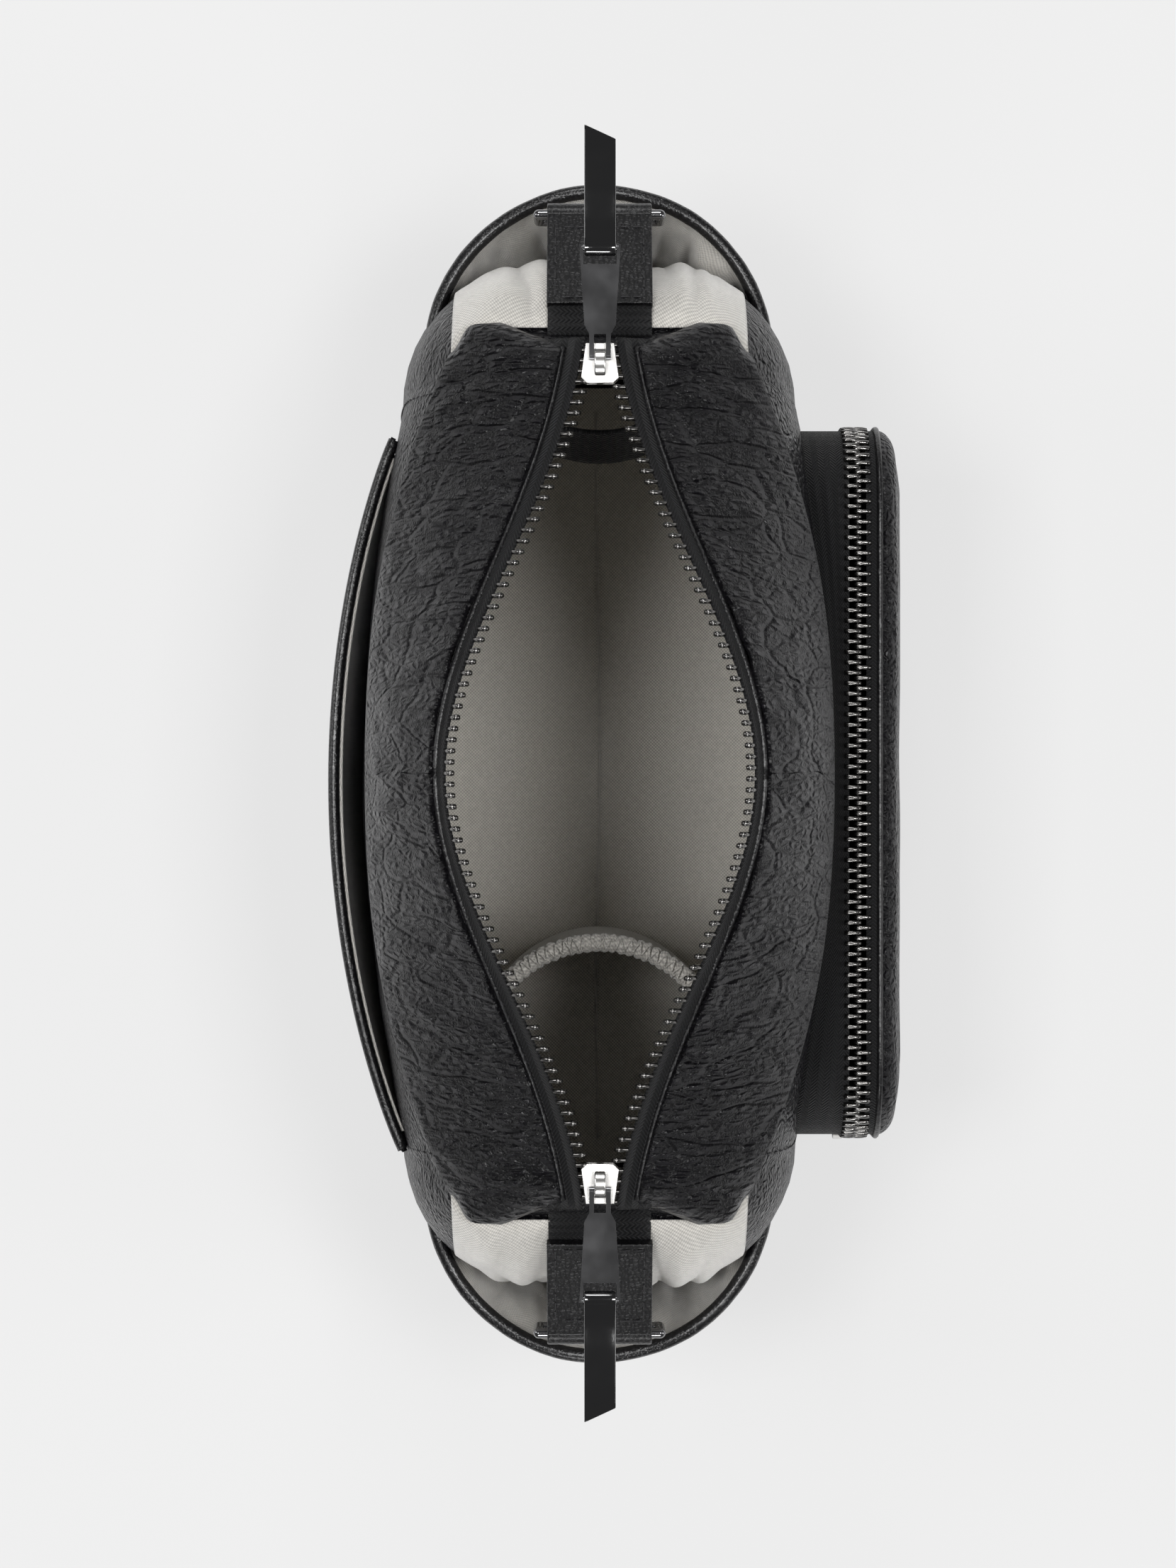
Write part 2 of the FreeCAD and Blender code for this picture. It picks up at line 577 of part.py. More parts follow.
# The strap anchors: a leather loop on webbing, folded round a metal ring.
def make_anchors(pocket_lining, gable):
    top = Vector(SHOULDER_HALF_LENGTH - ANCHOR_TOP_INSET, 0, SHOULDER_HEIGHT + ANCHOR_TOP_LIFT)
    bar = Vector(BODY_HALF_LENGTH + ANCHOR_BAR_STAND, 0, SHOULDER_HEIGHT - ANCHOR_BAR_BELOW)
    length = top.distanceToPoint(bar)
    tilt = math.degrees(math.atan2(top.z - bar.z, bar.x - top.x))
    half = ANCHOR_WIDTH / 2.0
    bore = RING_WIRE_RADIUS + RING_CLEARANCE
    roll_radius = bore + ROLL_WALL
    webbing = box((0, -half, -WEBBING_THICK), (length - roll_radius, half, 0))
    loop = box((WEBBING_SHOW, -half, 0), (length, half, ANCHOR_THICK))
    loop = loop.fuse(rod_y(roll_radius, half, length, 0.0)).cut(rod_y(bore, half + CUT_MARGIN, length, 0.0))
    webbing = webbing.cut(rod_y(roll_radius, half, length, 0.0))
    for shape in (webbing, loop):
        shape.rotate(Vector(0, 0, 0), Vector(0, 1, 0), tilt)
        shape.translate(top)
    webbing = webbing.cut(body_outer).cut(pocket_lining).cut(gable)
    loop = loop.cut(gable)
    side_y = half + RING_WIRE_RADIUS + RING_SIDE_PLAY
    ring = rod_y(RING_WIRE_RADIUS, side_y, bar.x, bar.z)
    ring = ring.fuse(rod_y(RING_WIRE_RADIUS, side_y, bar.x, bar.z - RING_DROP))
    for y in (-side_y, side_y):
        low = Vector(bar.x, y, bar.z - RING_DROP)
        ring = ring.fuse(Part.makeCylinder(RING_WIRE_RADIUS, RING_DROP, low))
        ring = ring.fuse(Part.makeSphere(RING_WIRE_RADIUS, low))
        ring = ring.fuse(Part.makeSphere(RING_WIRE_RADIUS, Vector(bar.x, y, bar.z)))
    pieces = {"anchor_webbing": webbing, "anchor_loop": loop, "strap_ring": ring}
    for name, shape in pieces.items():
        keep(name + "_right", shape)
        keep(name + "_left", mirror_x(shape))


# A level bow: an arc over a straight chord, used for the slip pocket on the back.
def bow_outline(end_y, mid_y, z):
    left = Vector(BACK_POCKET_CENTRE_X - BACK_POCKET_HALF_LENGTH, end_y, z)
    right = Vector(BACK_POCKET_CENTRE_X + BACK_POCKET_HALF_LENGTH, end_y, z)
    middle = Vector(BACK_POCKET_CENTRE_X, mid_y, z)
    edges = [Part.Arc(right, middle, left), Part.LineSegment(left, right)]
    return Part.Wire([edge.toShape() for edge in edges])


# The slip pocket's filled form: its ends lie on the body's bowed back, its middle stands off it.
def back_pocket_form(inset):
    middle = (BACK_POCKET_FOOT + BACK_POCKET_TOP) / 2.0
    levels = [
        (BACK_POCKET_FOOT, BASE_HALF_DEPTH + BACK_FOOT_STAND, 0.0),
        (middle, BODY_HALF_DEPTH, BACK_POCKET_GAP * 0.5),
        (BACK_POCKET_TOP, BODY_HALF_DEPTH - BACK_TOP_DRAW, BACK_POCKET_GAP),
    ]
    wires = []
    for z, body_y, gap in levels:
        end_y = body_y - BACK_END_SAG + LEATHER - inset
        wires.append(bow_outline(end_y, body_y + gap + LEATHER - inset, z))
    return Part.makeLoft(wires, True, False)


def make_back_pocket():
    inner = back_pocket_form(LEATHER).common(above(BACK_POCKET_FOOT + LEATHER))
    hollow = back_pocket_form(INNER_GAP).common(above(BACK_POCKET_FOOT + INNER_GAP))
    sag = BACK_POCKET_GAP + BACK_END_SAG
    radius = (BACK_POCKET_HALF_LENGTH ** 2 + sag ** 2) / (2.0 * sag)
    rim_y = BODY_HALF_DEPTH - BACK_TOP_DRAW + BACK_POCKET_GAP + LEATHER
    centre = Vector(BACK_POCKET_CENTRE_X, rim_y - radius, BACK_POCKET_TOP + BACK_RIM_RADIUS + RIM_PLAY)
    rim = Part.makeTorus(radius - INNER_GAP / 2.0, BACK_RIM_RADIUS, centre)
    reach = BACK_POCKET_HALF_LENGTH
    rim = rim.common(box((BACK_POCKET_CENTRE_X - reach, 0, 0), (BACK_POCKET_CENTRE_X + reach, BIG, BIG)))
    rim = rim.cut(body_outer)
    panel = back_pocket_form(0.0).cut(inner).cut(body_outer)
    lining = inner.cut(hollow).cut(body_outer)
    keep("back_pocket_panel", panel)
    keep("back_pocket_lining", lining)
    keep("back_pocket_rim", rim)


# The front pocket's outline seen from the front, drawn in by one amount.
def pocket_outline(y, inset):
    left = FRONT_POCKET_LEFT_X + inset
    right = FRONT_POCKET_RIGHT_X - inset
    top = FRONT_POCKET_TOP - inset
    foot = FRONT_POCKET_FOOT + inset
    r = FRONT_POCKET_CORNER - inset
    k = r * (1.0 - math.sqrt(0.5))
    edges = [
        Part.LineSegment(Vector(left, y, foot + r), Vector(left, y, top - r)),
        Part.Arc(Vector(left, y, top - r), Vector(left + k, y, top - k), Vector(left + r, y, top)),
        Part.LineSegment(Vector(left + r, y, top), Vector(right - r, y, top)),
        Part.Arc(Vector(right - r, y, top), Vector(right - k, y, top - k), Vector(right, y, top - r)),
        Part.LineSegment(Vector(right, y, top - r), Vector(right, y, foot + r)),
        Part.Arc(Vector(right, y, foot + r), Vector(right - k, y, foot + k), Vector(right - r, y, foot)),
        Part.LineSegment(Vector(right - r, y, foot), Vector(left + r, y, foot)),
        Part.Arc(Vector(left + r, y, foot), Vector(left + k, y, foot + k), Vector(left, y, foot + r)),
    ]
    return Part.Wire([edge.toShape() for edge in edges])


# A wall round the front pocket between two depths.
def pocket_wall(back_y, front_y, thick):
    depth = Vector(0, back_y - front_y, 0)
    outer = Part.Face(pocket_outline(front_y, 0.0)).extrude(depth)
    return outer.cut(Part.Face(pocket_outline(front_y, thick)).extrude(depth))


# A place on the front zip's line, by its distance from the zip's foot on the left side.
def front_zip_place(s):
    r = FRONT_POCKET_CORNER
    side = FRONT_POCKET_TOP - r - FRONT_ZIP_FOOT
    turn = math.pi * r / 2.0
    across = FRONT_POCKET_RIGHT_X - FRONT_POCKET_LEFT_X - 2.0 * r
    if s < side:
        return FRONT_POCKET_LEFT_X, FRONT_ZIP_FOOT + s, 90.0
    s -= side
    if s < turn:
        angle = math.pi - s / r
        centre_x = FRONT_POCKET_LEFT_X + r
        centre_z = FRONT_POCKET_TOP - r
        return centre_x + r * math.cos(angle), centre_z + r * math.sin(angle), math.degrees(angle) - 90.0
    s -= turn
    if s < across:
        return FRONT_POCKET_LEFT_X + r + s, FRONT_POCKET_TOP, 0.0
    s -= across
    if s < turn:
        angle = math.pi / 2.0 - s / r
        centre_x = FRONT_POCKET_RIGHT_X - r
        centre_z = FRONT_POCKET_TOP - r
        return centre_x + r * math.cos(angle), centre_z + r * math.sin(angle), math.degrees(angle) - 90.0
    s -= turn
    return FRONT_POCKET_RIGHT_X, FRONT_POCKET_TOP - r - s, -90.0


def front_zip_length():
    r = FRONT_POCKET_CORNER
    side = FRONT_POCKET_TOP - r - FRONT_ZIP_FOOT
    across = FRONT_POCKET_RIGHT_X - FRONT_POCKET_LEFT_X - 2.0 * r
    return 2.0 * side + math.pi * r + across


# One tooth of the closed front zip; `side` is +1 for the row on the body's tape.
def front_tooth(s, side):
    x, z, angle = front_zip_place(s)
    half = TOOTH_LENGTH / 2.0
    root = TAPE_EDGE - TOOTH_SEAT
    head = root - TOOTH_DEPTH
    middle = -TAPE_THICK / 2.0
    low = middle - TOOTH_THICK / 2.0
    high = middle + TOOTH_THICK / 2.0
    block = box((-half, min(root * side, head * side), low), (half, max(root * side, head * side), high))
    block.rotate(Vector(0, 0, 0), Vector(0, 1, 0), -angle)
    block.translate(Vector(x, -FRONT_CHAIN_Y, z))
    return block


def make_front_pocket():
    face_back = FACE_EDGE_DEPTH - FRONT_FACE_Y
    strip_front = -(FRONT_CHAIN_Y - TAPE_EDGE - TAPE_SHOW)
    below = box((-BIG, -BIG, 0), (BIG, BIG, FRONT_ZIP_FOOT))
    over = above(FRONT_ZIP_FOOT)
    gusset = pocket_wall(-FRONT_STRIP_Y, face_back, LEATHER).common(below)
    strip = pocket_wall(-FRONT_STRIP_Y, strip_front, LEATHER).common(over)
    gusset = gusset.fuse(strip).cut(body_outer).removeSplitter()
    tape_inner = pocket_wall(strip_front, -(FRONT_CHAIN_Y - TAPE_EDGE), TAPE_THICK).common(over)
    tape_inner = tape_inner.cut(body_outer)
    tape_outer = pocket_wall(-(FRONT_CHAIN_Y + TAPE_EDGE), face_back, TAPE_THICK).common(over)
    outer = Part.makeLoft([
        pocket_outline(face_back, 0.0),
        pocket_outline(face_back - FACE_EDGE_DEPTH * 0.6, FACE_SIDE_ROUND),
        pocket_outline(face_back - FACE_EDGE_DEPTH, FACE_ROUND),
    ], True, False)
    inner = Part.makeLoft([
        pocket_outline(face_back, LEATHER),
        pocket_outline(face_back - FACE_EDGE_DEPTH * 0.6, FACE_SIDE_ROUND + LEATHER),
        pocket_outline(face_back - FACE_EDGE_DEPTH + LEATHER, FACE_ROUND + LEATHER * 0.6),
    ], True, False)
    keep("front_pocket_gusset", gusset)
    keep("front_tape_body_side", tape_inner)
    keep("front_tape_face_side", tape_outer)
    keep("front_pocket_face", outer.cut(inner))
    side_run = FRONT_POCKET_TOP - FRONT_POCKET_CORNER - FRONT_ZIP_FOOT
    start = FRONT_SLIDER_LIFT + SLIDER_LENGTH / 2.0 + SLIDER_NOTCH
    count = int((front_zip_length() - start) / TOOTH_PITCH)
    side_teeth = []
    body_row = []
    face_row = []
    for i in range(count):
        s = start + i * TOOTH_PITCH
        pair = (front_tooth(s, 1.0), front_tooth(s + TOOTH_PITCH / 2.0, -1.0))
        if s < side_run:
            side_teeth.extend(pair)
        else:
            body_row.append(pair[0])
            face_row.append(pair[1])
    keep("front_teeth_side_run", Part.makeCompound(side_teeth))
    keep("front_teeth_body_side", Part.makeCompound(body_row))
    keep("front_teeth_face_side", Part.makeCompound(face_row))


# An upright U wall open towards +X: a half round towards -X and two straight sides.
def u_wall(centre_x, radius, thick, low, high):
    tall = high - low
    foot = Vector(centre_x, 0, low)
    outer = Part.makeCylinder(radius + thick, tall, foot)
    reach = centre_x + INNER_REACH
    outer = outer.fuse(box((centre_x, -radius - thick, low), (reach, radius + thick, high)))
    inner = Part.makeCylinder(radius, tall, foot)
    inner = inner.fuse(box((centre_x, -radius, low), (reach, radius, high)))
    return outer.cut(inner)


def make_inner_pieces():
    floor = BASE_BOARD + LINING
    centre_x = -BOTTLE_CENTRE_X
    ring_radius = BOTTLE_RADIUS + BOTTLE_CLOTH / 2.0
    elastic = Part.makeTorus(ring_radius, ELASTIC_RADIUS, Vector(centre_x, 0, BOTTLE_POCKET_TOP))
    elastic = elastic.common(box((0, -BIG, 0), (centre_x, BIG, BIG)))
    for side in (-1.0, 1.0):
        start = Vector(centre_x, side * ring_radius, BOTTLE_POCKET_TOP)
        elastic = elastic.fuse(Part.makeCylinder(ELASTIC_RADIUS, INNER_REACH, start, Vector(1, 0, 0)))
    elastic = elastic.common(lining_inner)
    pocket = u_wall(centre_x, BOTTLE_RADIUS, BOTTLE_CLOTH, floor, BOTTLE_POCKET_TOP)
    pocket = pocket.common(lining_inner).cut(elastic)
    keep("bottle_pocket", mirror_x(pocket))
    keep("bottle_pocket_elastic", mirror_x(elastic))
    loop_x = LOOP_REACH_X + LOOP_HALF_WIDTH
    loop = u_wall(loop_x, LOOP_HALF_WIDTH - LOOP_THICK, LOOP_THICK, LOOP_TOP - LOOP_HEIGHT, LOOP_TOP)
    keep("elastic_loop", loop.common(lining_inner))


make_body_panels()
make_main_lining()
make_flaps()
right_gable = make_end_gables()
make_sliders()
right_pocket_lining = make_side_pockets()
make_anchors(right_pocket_lining, right_gable)
make_back_pocket()
make_front_pocket()
make_inner_pieces()
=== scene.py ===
import json
import math

import bmesh
import bpy
from mathutils import Matrix, Vector, noise


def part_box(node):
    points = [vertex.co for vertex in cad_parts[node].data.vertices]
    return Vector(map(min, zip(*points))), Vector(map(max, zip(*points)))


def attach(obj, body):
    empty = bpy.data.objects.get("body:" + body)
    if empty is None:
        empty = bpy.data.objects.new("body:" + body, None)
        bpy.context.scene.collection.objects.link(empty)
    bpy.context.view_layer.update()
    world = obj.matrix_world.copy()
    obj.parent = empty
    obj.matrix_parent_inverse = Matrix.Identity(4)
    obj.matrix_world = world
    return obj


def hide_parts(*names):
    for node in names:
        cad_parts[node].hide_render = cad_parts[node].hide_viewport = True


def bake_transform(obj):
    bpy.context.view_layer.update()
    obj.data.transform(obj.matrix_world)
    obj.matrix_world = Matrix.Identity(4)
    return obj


bl_info = {
    "name": "Changing Bag",
    "version": (1, 0, 0),
    "blender": (4, 5, 0),
    "location": "View3D > Sidebar > Changing Bag",
    "description": "Builds a leather changing bag with an open top zip, pockets and pulls",
    "category": "Object",
}

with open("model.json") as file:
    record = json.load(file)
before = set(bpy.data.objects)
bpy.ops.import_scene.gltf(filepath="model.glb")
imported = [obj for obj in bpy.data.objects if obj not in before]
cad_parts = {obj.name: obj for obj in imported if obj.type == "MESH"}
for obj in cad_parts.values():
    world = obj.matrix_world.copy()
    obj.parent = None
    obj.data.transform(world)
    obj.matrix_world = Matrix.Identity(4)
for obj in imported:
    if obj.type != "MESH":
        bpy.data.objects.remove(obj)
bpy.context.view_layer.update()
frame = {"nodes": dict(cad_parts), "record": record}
JOINTS = {joint["name"]: joint for joint in frame["record"]["behaviour"]["joints"]}
MM = 0.001

# Sizes of the body in millimetres. Its ends are drawn in a little against the frame's panels.
SHOULDER_HEIGHT = 230.0
SHOULDER_HALF_LENGTH = 125.0
SHOULDER_HALF_DEPTH = 63.0
SHOULDER_END_HALF_DEPTH = 40.0
CORNER_X = SHOULDER_HALF_LENGTH - 7.0
END_HALF = SHOULDER_END_HALF_DEPTH - 9.0
# Height, half length, corner depth, half depth, corner place and end flat.
BODY_LEVELS = [
    (0.0, 130.0, 52.0, 58.0, 112.0, 29.0),
    (14.0, 139.0, 58.0, 64.0, 111.0, 28.0),
    (103.5, 150.0, 60.0, 69.0, 110.0, 26.0),
    (172.5, 147.0, 57.0, 69.0, 110.0, 24.0),
    (204.7, 140.0, 52.0, 67.0, 113.0, 27.0),
    (230.0, 125.0, 40.0, 63.0, 118.0, 31.0),
]
# Thicknesses, the flaps and their teeth.
LEATHER = 1.8
LINING = 0.9
TAPE = 0.9
END_SEAM_X = 112.0
CLOSED_ANGLE = math.radians(17.3)
SWING = math.radians(53.0)
FLAP_FADE_X = 150.0
FLAP_END_X = 120.0
FLAP_CROWN = 3.0
TAPE_EDGE = 2.85
TAPE_SHOW = 6.0
TOOTH_PITCH = 3.0
TOOTH_DEPTH = 3.9
# The front pocket.
FRONT_LEFT_X = -106.0
FRONT_RIGHT_X = 101.0
FRONT_TOP = 202.0
FRONT_FOOT = 26.0
FRONT_CORNER = 26.0
FRONT_CHAIN_Y = 74.5
FRONT_ZIP_FOOT = 84.0


def smooth(t):
    t = min(1.0, max(0.0, t))
    return t * t * (3.0 - 2.0 * t)


def mix(a, b, t):
    return a + (b - a) * t


def ripple(x, y, z, seed=0.0):
    """Soft noise in about -1 to 1 at one place."""
    return noise.noise(Vector((x + seed * 7.3, y - seed * 3.1, z + seed * 1.7)))


def shade(name, factor):
    """One of the bag's colours, made darker or lighter by a factor."""
    colour = getattr(bpy.context.scene.bag_colours, name)
    return tuple(channel * factor for channel in colour)


def size(name):
    """One of the bag's user sizes, in metres."""
    return getattr(bpy.context.scene.bag_sizes, name)


class Value:
    """A shader number that can be used in sums."""

    def __init__(self, finish, socket):
        self.finish = finish
        self.socket = socket

    def math(self, operation, *others):
        inputs = {index: value for index, value in enumerate((self,) + others)}
        return self.finish.node("ShaderNodeMath", {"operation": operation}, inputs).out()

    def __add__(self, other):
        return self.math("ADD", other)

    __radd__ = __add__

    def __mul__(self, other):
        return self.math("MULTIPLY", other)

    __rmul__ = __mul__

    def __sub__(self, other):
        return self.math("SUBTRACT", other)

    def __rsub__(self, other):
        return (self * -1.0) + other

    def sine(self):
        return self.math("SINE")

    def fraction(self):
        return self.math("FRACT")

    def above(self, other):
        return self.math("GREATER_THAN", other)

    def between(self, low, high):
        settings = {"interpolation_type": "SMOOTHSTEP"}
        return self.finish.node("ShaderNodeMapRange", settings, {0: self, 1: low, 2: high}).out()


class Made:
    """A node that was just made, whose outputs are read by number or name."""

    def __init__(self, finish, node):
        self.finish = finish
        self.node = node

    def out(self, key=0):
        return Value(self.finish, self.node.outputs[key])


class Finish:
    """A material under construction."""

    def __init__(self, name):
        self.material = bpy.data.materials.new(name)
        self.material.use_nodes = True
        self.tree = self.material.node_tree
        self.surface = self.tree.nodes["Principled BSDF"]

    def node(self, kind, settings=None, inputs=None):
        made = self.tree.nodes.new(kind)
        for key, value in (settings or {}).items():
            setattr(made, key, value)
        self.feed(made, inputs or {})
        return Made(self, made)

    def feed(self, node, inputs):
        for key, value in inputs.items():
            socket = node.inputs[key]
            if isinstance(value, Value):
                self.tree.links.new(value.socket, socket)
            else:
                socket.default_value = value

    def place(self):
        return self.node("ShaderNodeTexCoord").out("Object")

    def cloth_place(self):
        place = self.node("ShaderNodeTexCoord").out("UV")
        parts = self.node("ShaderNodeSeparateXYZ", None, {0: place})
        return parts.out(0), parts.out(1)

    def vector(self, operation, inputs):
        return self.node("ShaderNodeVectorMath", {"operation": operation}, inputs).out()

    def stretched(self, place, factors):
        return self.vector("MULTIPLY", {0: place, 1: factors})

    def noise(self, place, scale, detail=3.0, roughness=0.5):
        inputs = {"Vector": place, "Scale": scale, "Detail": detail, "Roughness": roughness}
        return self.node("ShaderNodeTexNoise", None, inputs).out(0)

    def warped(self, place, scale, strength):
        inputs = {"Vector": place, "Scale": scale, "Detail": 2.0}
        colour = self.node("ShaderNodeTexNoise", None, inputs).out(1)
        centred = self.vector("SUBTRACT", {0: colour, 1: (0.5, 0.5, 0.5)})
        scaled = self.vector("SCALE", {0: centred, "Scale": strength})
        return self.vector("ADD", {0: place, 1: scaled})

    def cells(self, place, scale):
        """Distance to the nearest edge of a pattern of random cells."""
        settings = {"feature": "DISTANCE_TO_EDGE"}
        return self.node("ShaderNodeTexVoronoi", settings, {"Vector": place, "Scale": scale}).out(0)

    def blend(self, factor, low, high):
        made = self.node("ShaderNodeMix", {"data_type": "RGBA"})
        self.feed(made.node, {0: factor, 6: (*low, 1.0), 7: (*high, 1.0)})
        return made.out(2)

    def bump(self, height, strength, distance):
        inputs = {"Height": height, "Strength": strength, "Distance": distance}
        return self.node("ShaderNodeBump", None, inputs).out()

    def finish(self, **inputs):
        names = {key: key.replace("_", " ") for key in inputs}
        self.feed(self.surface, {names[key]: value for key, value in inputs.items()})
        return self.material


def leather_finish(name, stretch=(1.0, 1.0, 1.0), crease=0.5):
    """Pebbled black leather: warped cells, finer grain, long soft creases and a dull grazing sheen."""
    made = Finish(name)
    pebble = size("pebble_size")
    place = made.stretched(made.place(), stretch)
    bent = made.warped(place, 160.0, 0.0022)
    edge = made.cells(bent, 1.0 / pebble)
    pebbles = edge.between(0.02, 0.42)
    fine = made.cells(made.warped(made.place(), 500.0, 0.0006), 1.0 / (pebble * 0.45)).between(0.0, 0.5)
    folds = made.cells(made.warped(place, 60.0, 0.012), 1.0 / 0.011).between(0.0, 0.09)
    broad = made.noise(made.place(), 45.0, 3.0)
    strength = broad.between(0.3, 0.7) * 0.5 + 0.6
    height = pebbles * strength + fine * 0.18 + folds * crease
    patch = made.noise(made.place(), 18.0, 2.0).between(0.35, 0.7)
    rough = 0.38 - pebbles * 0.1 + patch * 0.06
    colour = made.blend(pebbles * 0.8 + patch * 0.2, shade("leather", 0.33), shade("leather", 1.0))
    return made.finish(
        Base_Color=colour,
        Roughness=rough,
        Specular_IOR_Level=0.24,
        Sheen_Weight=0.01,
        Sheen_Roughness=0.4,
        Sheen_Tint=(0.78, 0.74, 0.9, 1.0),
        Normal=made.bump(height, 1.0, 0.0011),
    )


def smooth_leather_finish(name, roughness=0.4, coat=0.15):
    """Finer, smoother leather of bindings, rolled edges and anchor loops."""
    made = Finish(name)
    grain = made.cells(made.warped(made.place(), 300.0, 0.001), 1.0 / 0.0012).between(0.0, 0.4)
    creases = made.noise(made.place(), 260.0, 4.0, 0.6)
    height = grain * 0.5 + creases * 0.6
    return made.finish(
        Base_Color=made.blend(grain, shade("edging", 0.37), shade("edging", 1.0)),
        Roughness=roughness + grain * 0.08 - 0.04,
        Specular_IOR_Level=0.35,
        Coat_Weight=coat,
        Coat_Roughness=0.25,
        Normal=made.bump(height, 0.45, 0.0004),
    )


def patent_finish(name):
    """Glossy black patent leather with a faint long ripple."""
    made = Finish(name)
    wave = made.noise(made.place(), 90.0, 1.0)
    return made.finish(
        Base_Color=(*shade("patent", 1.0), 1.0),
        Roughness=wave * 0.05 + 0.06,
        Specular_IOR_Level=0.6,
        Coat_Weight=1.0,
        Coat_Roughness=0.03,
        Normal=made.bump(wave, 0.35, 0.0016),
    )


def weave_finish(name, colour, pitch, roughness=0.75, sheen=0.2, twill=0.0):
    """Plain or twill weave on the cloth's own coordinates, with slubs and soft dirt."""
    made = Finish(name)
    u, v = made.cloth_place()
    wave = made.noise(made.place(), 220.0, 2.0) * 0.8
    along = u * (math.tau / pitch) + wave
    across = v * (math.tau / pitch)
    warp = along.sine()
    weft = (across + along * twill).sine()
    knots = (warp * weft) * 0.5 + 0.5
    slub = made.noise(made.stretched(made.place(), (1.0, 1.0, 0.15)), 700.0, 2.0)
    tone = knots * 0.65 + slub * 0.35
    cloudy = made.noise(made.place(), 25.0, 2.0)
    tone = (tone * (cloudy * 0.25 + 0.85)).between(0.1, 0.95)
    return made.finish(
        Base_Color=made.blend(tone, shade(colour, 0.5), shade(colour, 1.0)),
        Roughness=roughness,
        Specular_IOR_Level=0.35,
        Sheen_Weight=sheen,
        Normal=made.bump(knots, 0.55, pitch * 0.25),
    )


def herringbone_finish(name, pitch=0.0011, column=0.0045):
    """Black zip tape: slanted ribs that turn at each column."""
    made = Finish(name)
    u, v = made.cloth_place()
    side = (v * (1.0 / column)).fraction().above(0.5) * 2.0 - 1.0
    ribs = ((u + v * side * 0.9) * (math.tau / pitch)).sine() * 0.5 + 0.5
    return made.finish(
        Base_Color=made.blend(ribs, shade("tape", 0.25), shade("tape", 1.0)),
        Roughness=0.6,
        Specular_IOR_Level=0.25,
        Sheen_Weight=0.03,
        Normal=made.bump(ribs, 0.9, 0.0005),
    )


def metal_finish(name, colour, roughness):
    """Plated metal: fine scratches, and a soft random smear of lighter and darker tone."""
    made = Finish(name)
    scratch = made.noise(made.stretched(made.place(), (1.0, 9.0, 1.0)), 900.0, 3.0)
    smear = made.noise(made.place(), 120.0, 2.0)
    return made.finish(
        Base_Color=made.blend(smear, shade(colour, 0.7), shade(colour, 1.0)),
        Metallic=1.0,
        Roughness=smear * 0.1 + roughness - 0.05,
        Normal=made.bump(scratch, 0.02, 0.0002),
    )


def thread_finish(name):
    """Waxed black thread."""
    made = Finish(name)
    twist = made.noise(made.place(), 2500.0, 2.0)
    return made.finish(
        Base_Color=made.blend(twist, shade("thread", 0.2), shade("thread", 1.0)),
        Roughness=0.55,
        Normal=made.bump(twist, 0.5, 0.0002),
    )


FINISHES = {}


def finish(name):
    """The named finish, made the first time it is asked for."""
    pitch = size("weave_pitch")
    twill_pitch = pitch * 1.15
    makers = {
        "leather": lambda: leather_finish("pebbled leather"),
        "top leather": lambda: leather_finish("creased top leather", (1.3, 0.45, 0.45), 1.0),
        "edge leather": lambda: smooth_leather_finish("edge leather"),
        "rolled leather": lambda: smooth_leather_finish("rolled leather", 0.34, 0.3),
        "patent": lambda: patent_finish("patent leather"),
        "lining": lambda: weave_finish("woven lining", "lining", pitch),
        "pocket lining": lambda: weave_finish("twill pocket lining", "pocket", twill_pitch, 0.6, 0.45, 0.5),
        "tape": lambda: herringbone_finish("zip tape"),
        "webbing": lambda: herringbone_finish("ribbed webbing", 0.0014, 0.0028),
        "gunmetal": lambda: metal_finish("black nickel", "gunmetal", 0.13),
        "teeth": lambda: metal_finish("black nickel teeth", "teeth", 0.22),
        "nickel": lambda: metal_finish("bright nickel", "nickel", 0.22),
        "thread": lambda: thread_finish("thread"),
    }
    if name not in FINISHES:
        FINISHES[name] = makers[name]()
    return FINISHES[name]


def mesh_piece(name, points, faces, finish_name, body, uvs=None, smooth_faces=True):
    """A new mesh piece from points in millimetres, riding on one body."""
    mesh = bpy.data.meshes.new(name)
    mesh.from_pydata([(x * MM, y * MM, z * MM) for x, y, z in points], [], faces)
    if uvs:
        layer = mesh.uv_layers.new(name="cloth")
        for loop in mesh.loops:
            u, v = uvs[loop.vertex_index]
            layer.data[loop.index].uv = (u * MM, v * MM)
    mesh.materials.append(finish(finish_name))
    for polygon in mesh.polygons:
        polygon.use_smooth = smooth_faces
    mesh.update()
    piece = bpy.data.objects.new(name, mesh)
    bpy.context.scene.collection.objects.link(piece)
    if body:
        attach(piece, body)
    return piece


def thicken(piece, thickness, offset=-1.0):
    """Gives a sheet its thickness in millimetres; offset -1 grows it inwards, 1 outwards."""
    solid = piece.modifiers.new("thickness", "SOLIDIFY")
    solid.thickness = thickness * MM
    solid.offset = offset
    solid.use_even_offset = False
    return piece


def round_edges(piece, width, segments=2):
    bevel = piece.modifiers.new("round edges", "BEVEL")
    bevel.width = width * MM
    bevel.segments = segments
    bevel.limit_method = "ANGLE"
    bevel.angle_limit = math.radians(30.0)
    normals = piece.modifiers.new("even normals", "WEIGHTED_NORMAL")
    normals.keep_sharp = True
    return piece


